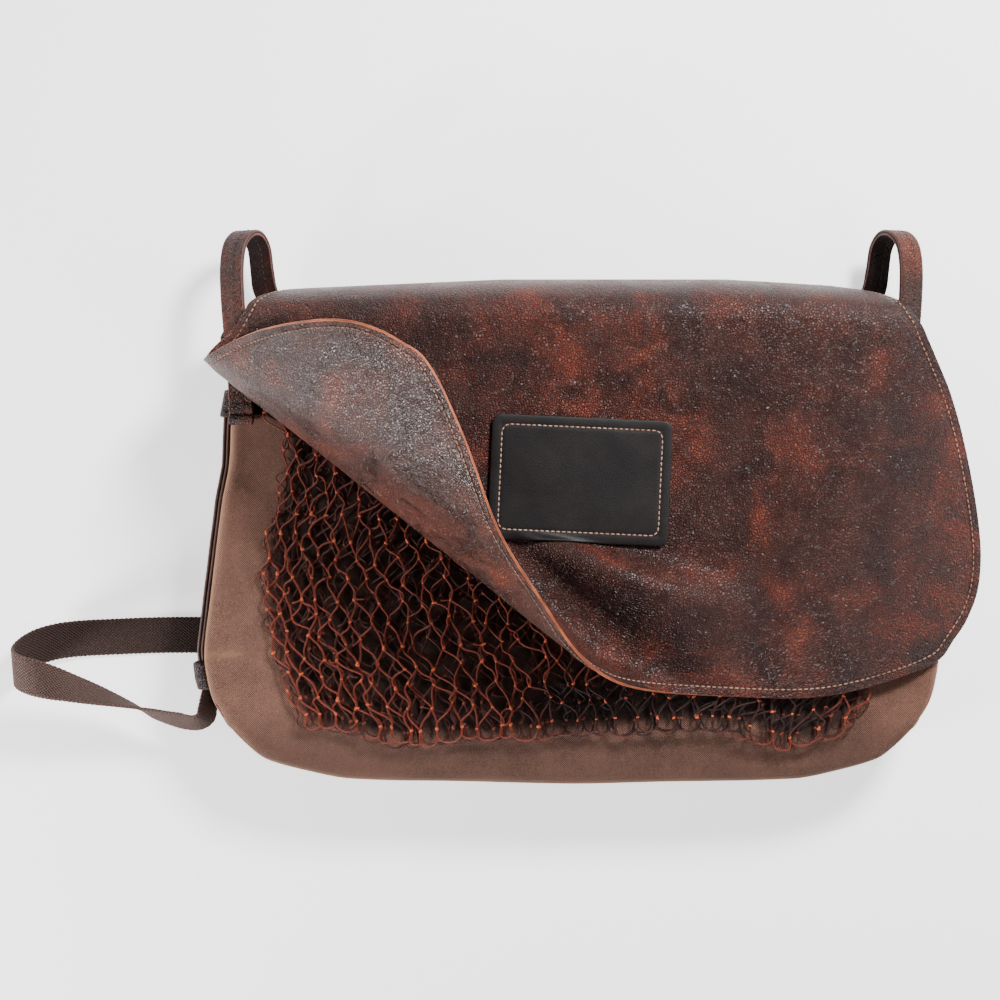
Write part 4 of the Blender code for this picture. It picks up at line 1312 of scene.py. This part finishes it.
def make_net(name, columns, rows, lift, seed, cord, material, loose):
    """One layer of net: cords as tubes, and a knot where they meet."""
    knots = {}
    for row in range(rows + 1):
        for column in range(row % 2, 2 * columns + 1, 2):
            x, y = net_place(column, row, 2 * columns, rows, seed)
            z = front_z(x, y) + lift + 0.0012 * (1 + shaken(column, row, seed + 2))
            knots[column, row] = Vector((x, y, z))
    paths = []
    for (column, row), start in knots.items():
        for side in (-1, 1):
            end = knots.get((column + side, row + 1))
            if end is not None:
                paths.append(cord_path(start, end, column, row, side, seed, loose))
        end = knots.get((column + 2, row))
        if row == rows and end is not None:
            dip = 0.0085 + 0.003 * shaken(column, row, seed + 12)
            paths.append(foot_loop(start, end, dip))
    for (column, row), start in knots.items():
        if shaken(column, row, seed + 9) > 0.42:
            angle = 9.0 * shaken(column, row, seed + 10)
            curl = 3.0 * shaken(column, row, seed + 11)
            paths.append(curled_end(start, angle, curl))
    points, faces, run = tubes(paths, cord / 2)
    mesh = bpy.data.meshes.new(name)
    mesh.from_pydata(points.tolist(), [], faces)
    # share of the lit colour, a painted highlight: most near the knots, a little along the cords
    near_knot = [0.6 if t in (0, 1) else 0.08 for t in SPAN_SHARES]
    store_fact(mesh, "knot", np.tile(np.repeat(near_knot, CORD_SIDES), len(paths)))
    store_fact(mesh, "run", run)
    cords = keep_piece(mesh, name + "_cords", [material])
    places = []
    upright = (0.0, 0.0, 1.0)
    for (column, row), spot in knots.items():
        angle = 1.6 * shaken(column, row, seed + 5)
        size = cord * (2.0 + 0.6 * shaken(column, row, seed + 6))
        places.append((spot, (math.cos(angle), math.sin(angle), 0.0), upright, size))
        if shaken(column, row, seed + 7) > 0.1:
            turned = (math.sin(angle + 0.5), math.cos(angle + 0.5), 0.3)
            beside = spot + Vector(turned) * size * 0.42
            places.append((beside, turned, upright, size * 0.72))
    # the knots take the lit colour in full: painted highlight
    blobs = stamp(name + "_knots", KNOT, places, [material], {"knot": 1.0})
    return cords, blobs


net_pieces = [piece for row in NET_LAYERS for piece in make_net(*row)]
ride_as(net_pieces[0], "net_cord", "game_net")
for piece in net_pieces[1:]:
    ride_as(piece, "net_cord")

# %% [markdown]
# ## Light and floor
# The floor is pale and glows a little, so that it comes out nearly white. The key lamp at the upper
# right gives the flap its sheen, and a low lamp at the left gives the rolled corner its gloss. Two
# weak lamps and a faint sky fill the shadows.

# %% Light and floor
bpy.ops.object.select_all(action="DESELECT")
bpy.ops.mesh.primitive_plane_add(size=6, location=(0, 0, -0.0006))
floor = bpy.context.object
floor.name = "floor"
floor_material, floor_shader = start_material("pale_floor", 0.9, 0.1)
floor_shader.inputs["Base Color"].default_value = linear("#f6f6f6")
floor_shader.inputs["Emission Color"].default_value = (1, 1, 1, 1)
floor_shader.inputs["Emission Strength"].default_value = 1.15
floor.data.materials.append(floor_material)

LAMPS = (  # name, place, side of the square in metres, watts
    ("key_lamp", (0.50, 0.72, 0.95), 0.28, 37),
    ("left_lamp", (-0.95, -0.55, 0.46), 0.30, 4),
    ("low_left_lamp", (-1.06, -0.52, 0.28), 0.22, 22),
    ("right_lamp", (0.95, -0.45, 0.95), 0.50, 6),
)
for name, place, size, power in LAMPS:
    data = bpy.data.lights.new(name, "AREA")
    data.shape = "SQUARE"
    data.size = size
    data.energy = power
    lamp = bpy.data.objects.new(name, data)
    lamp.location = place
    lamp.rotation_euler = (-Vector(place)).to_track_quat("-Z", "Y").to_euler()
    bpy.context.scene.collection.objects.link(lamp)
world = bpy.data.worlds.new("light_tent")
world.use_nodes = True
background = world.node_tree.nodes["Background"]
background.inputs["Color"].default_value = (1, 1, 1, 1)
background.inputs["Strength"].default_value = 0.13
bpy.context.scene.world = world
print("lamps:", len(LAMPS))
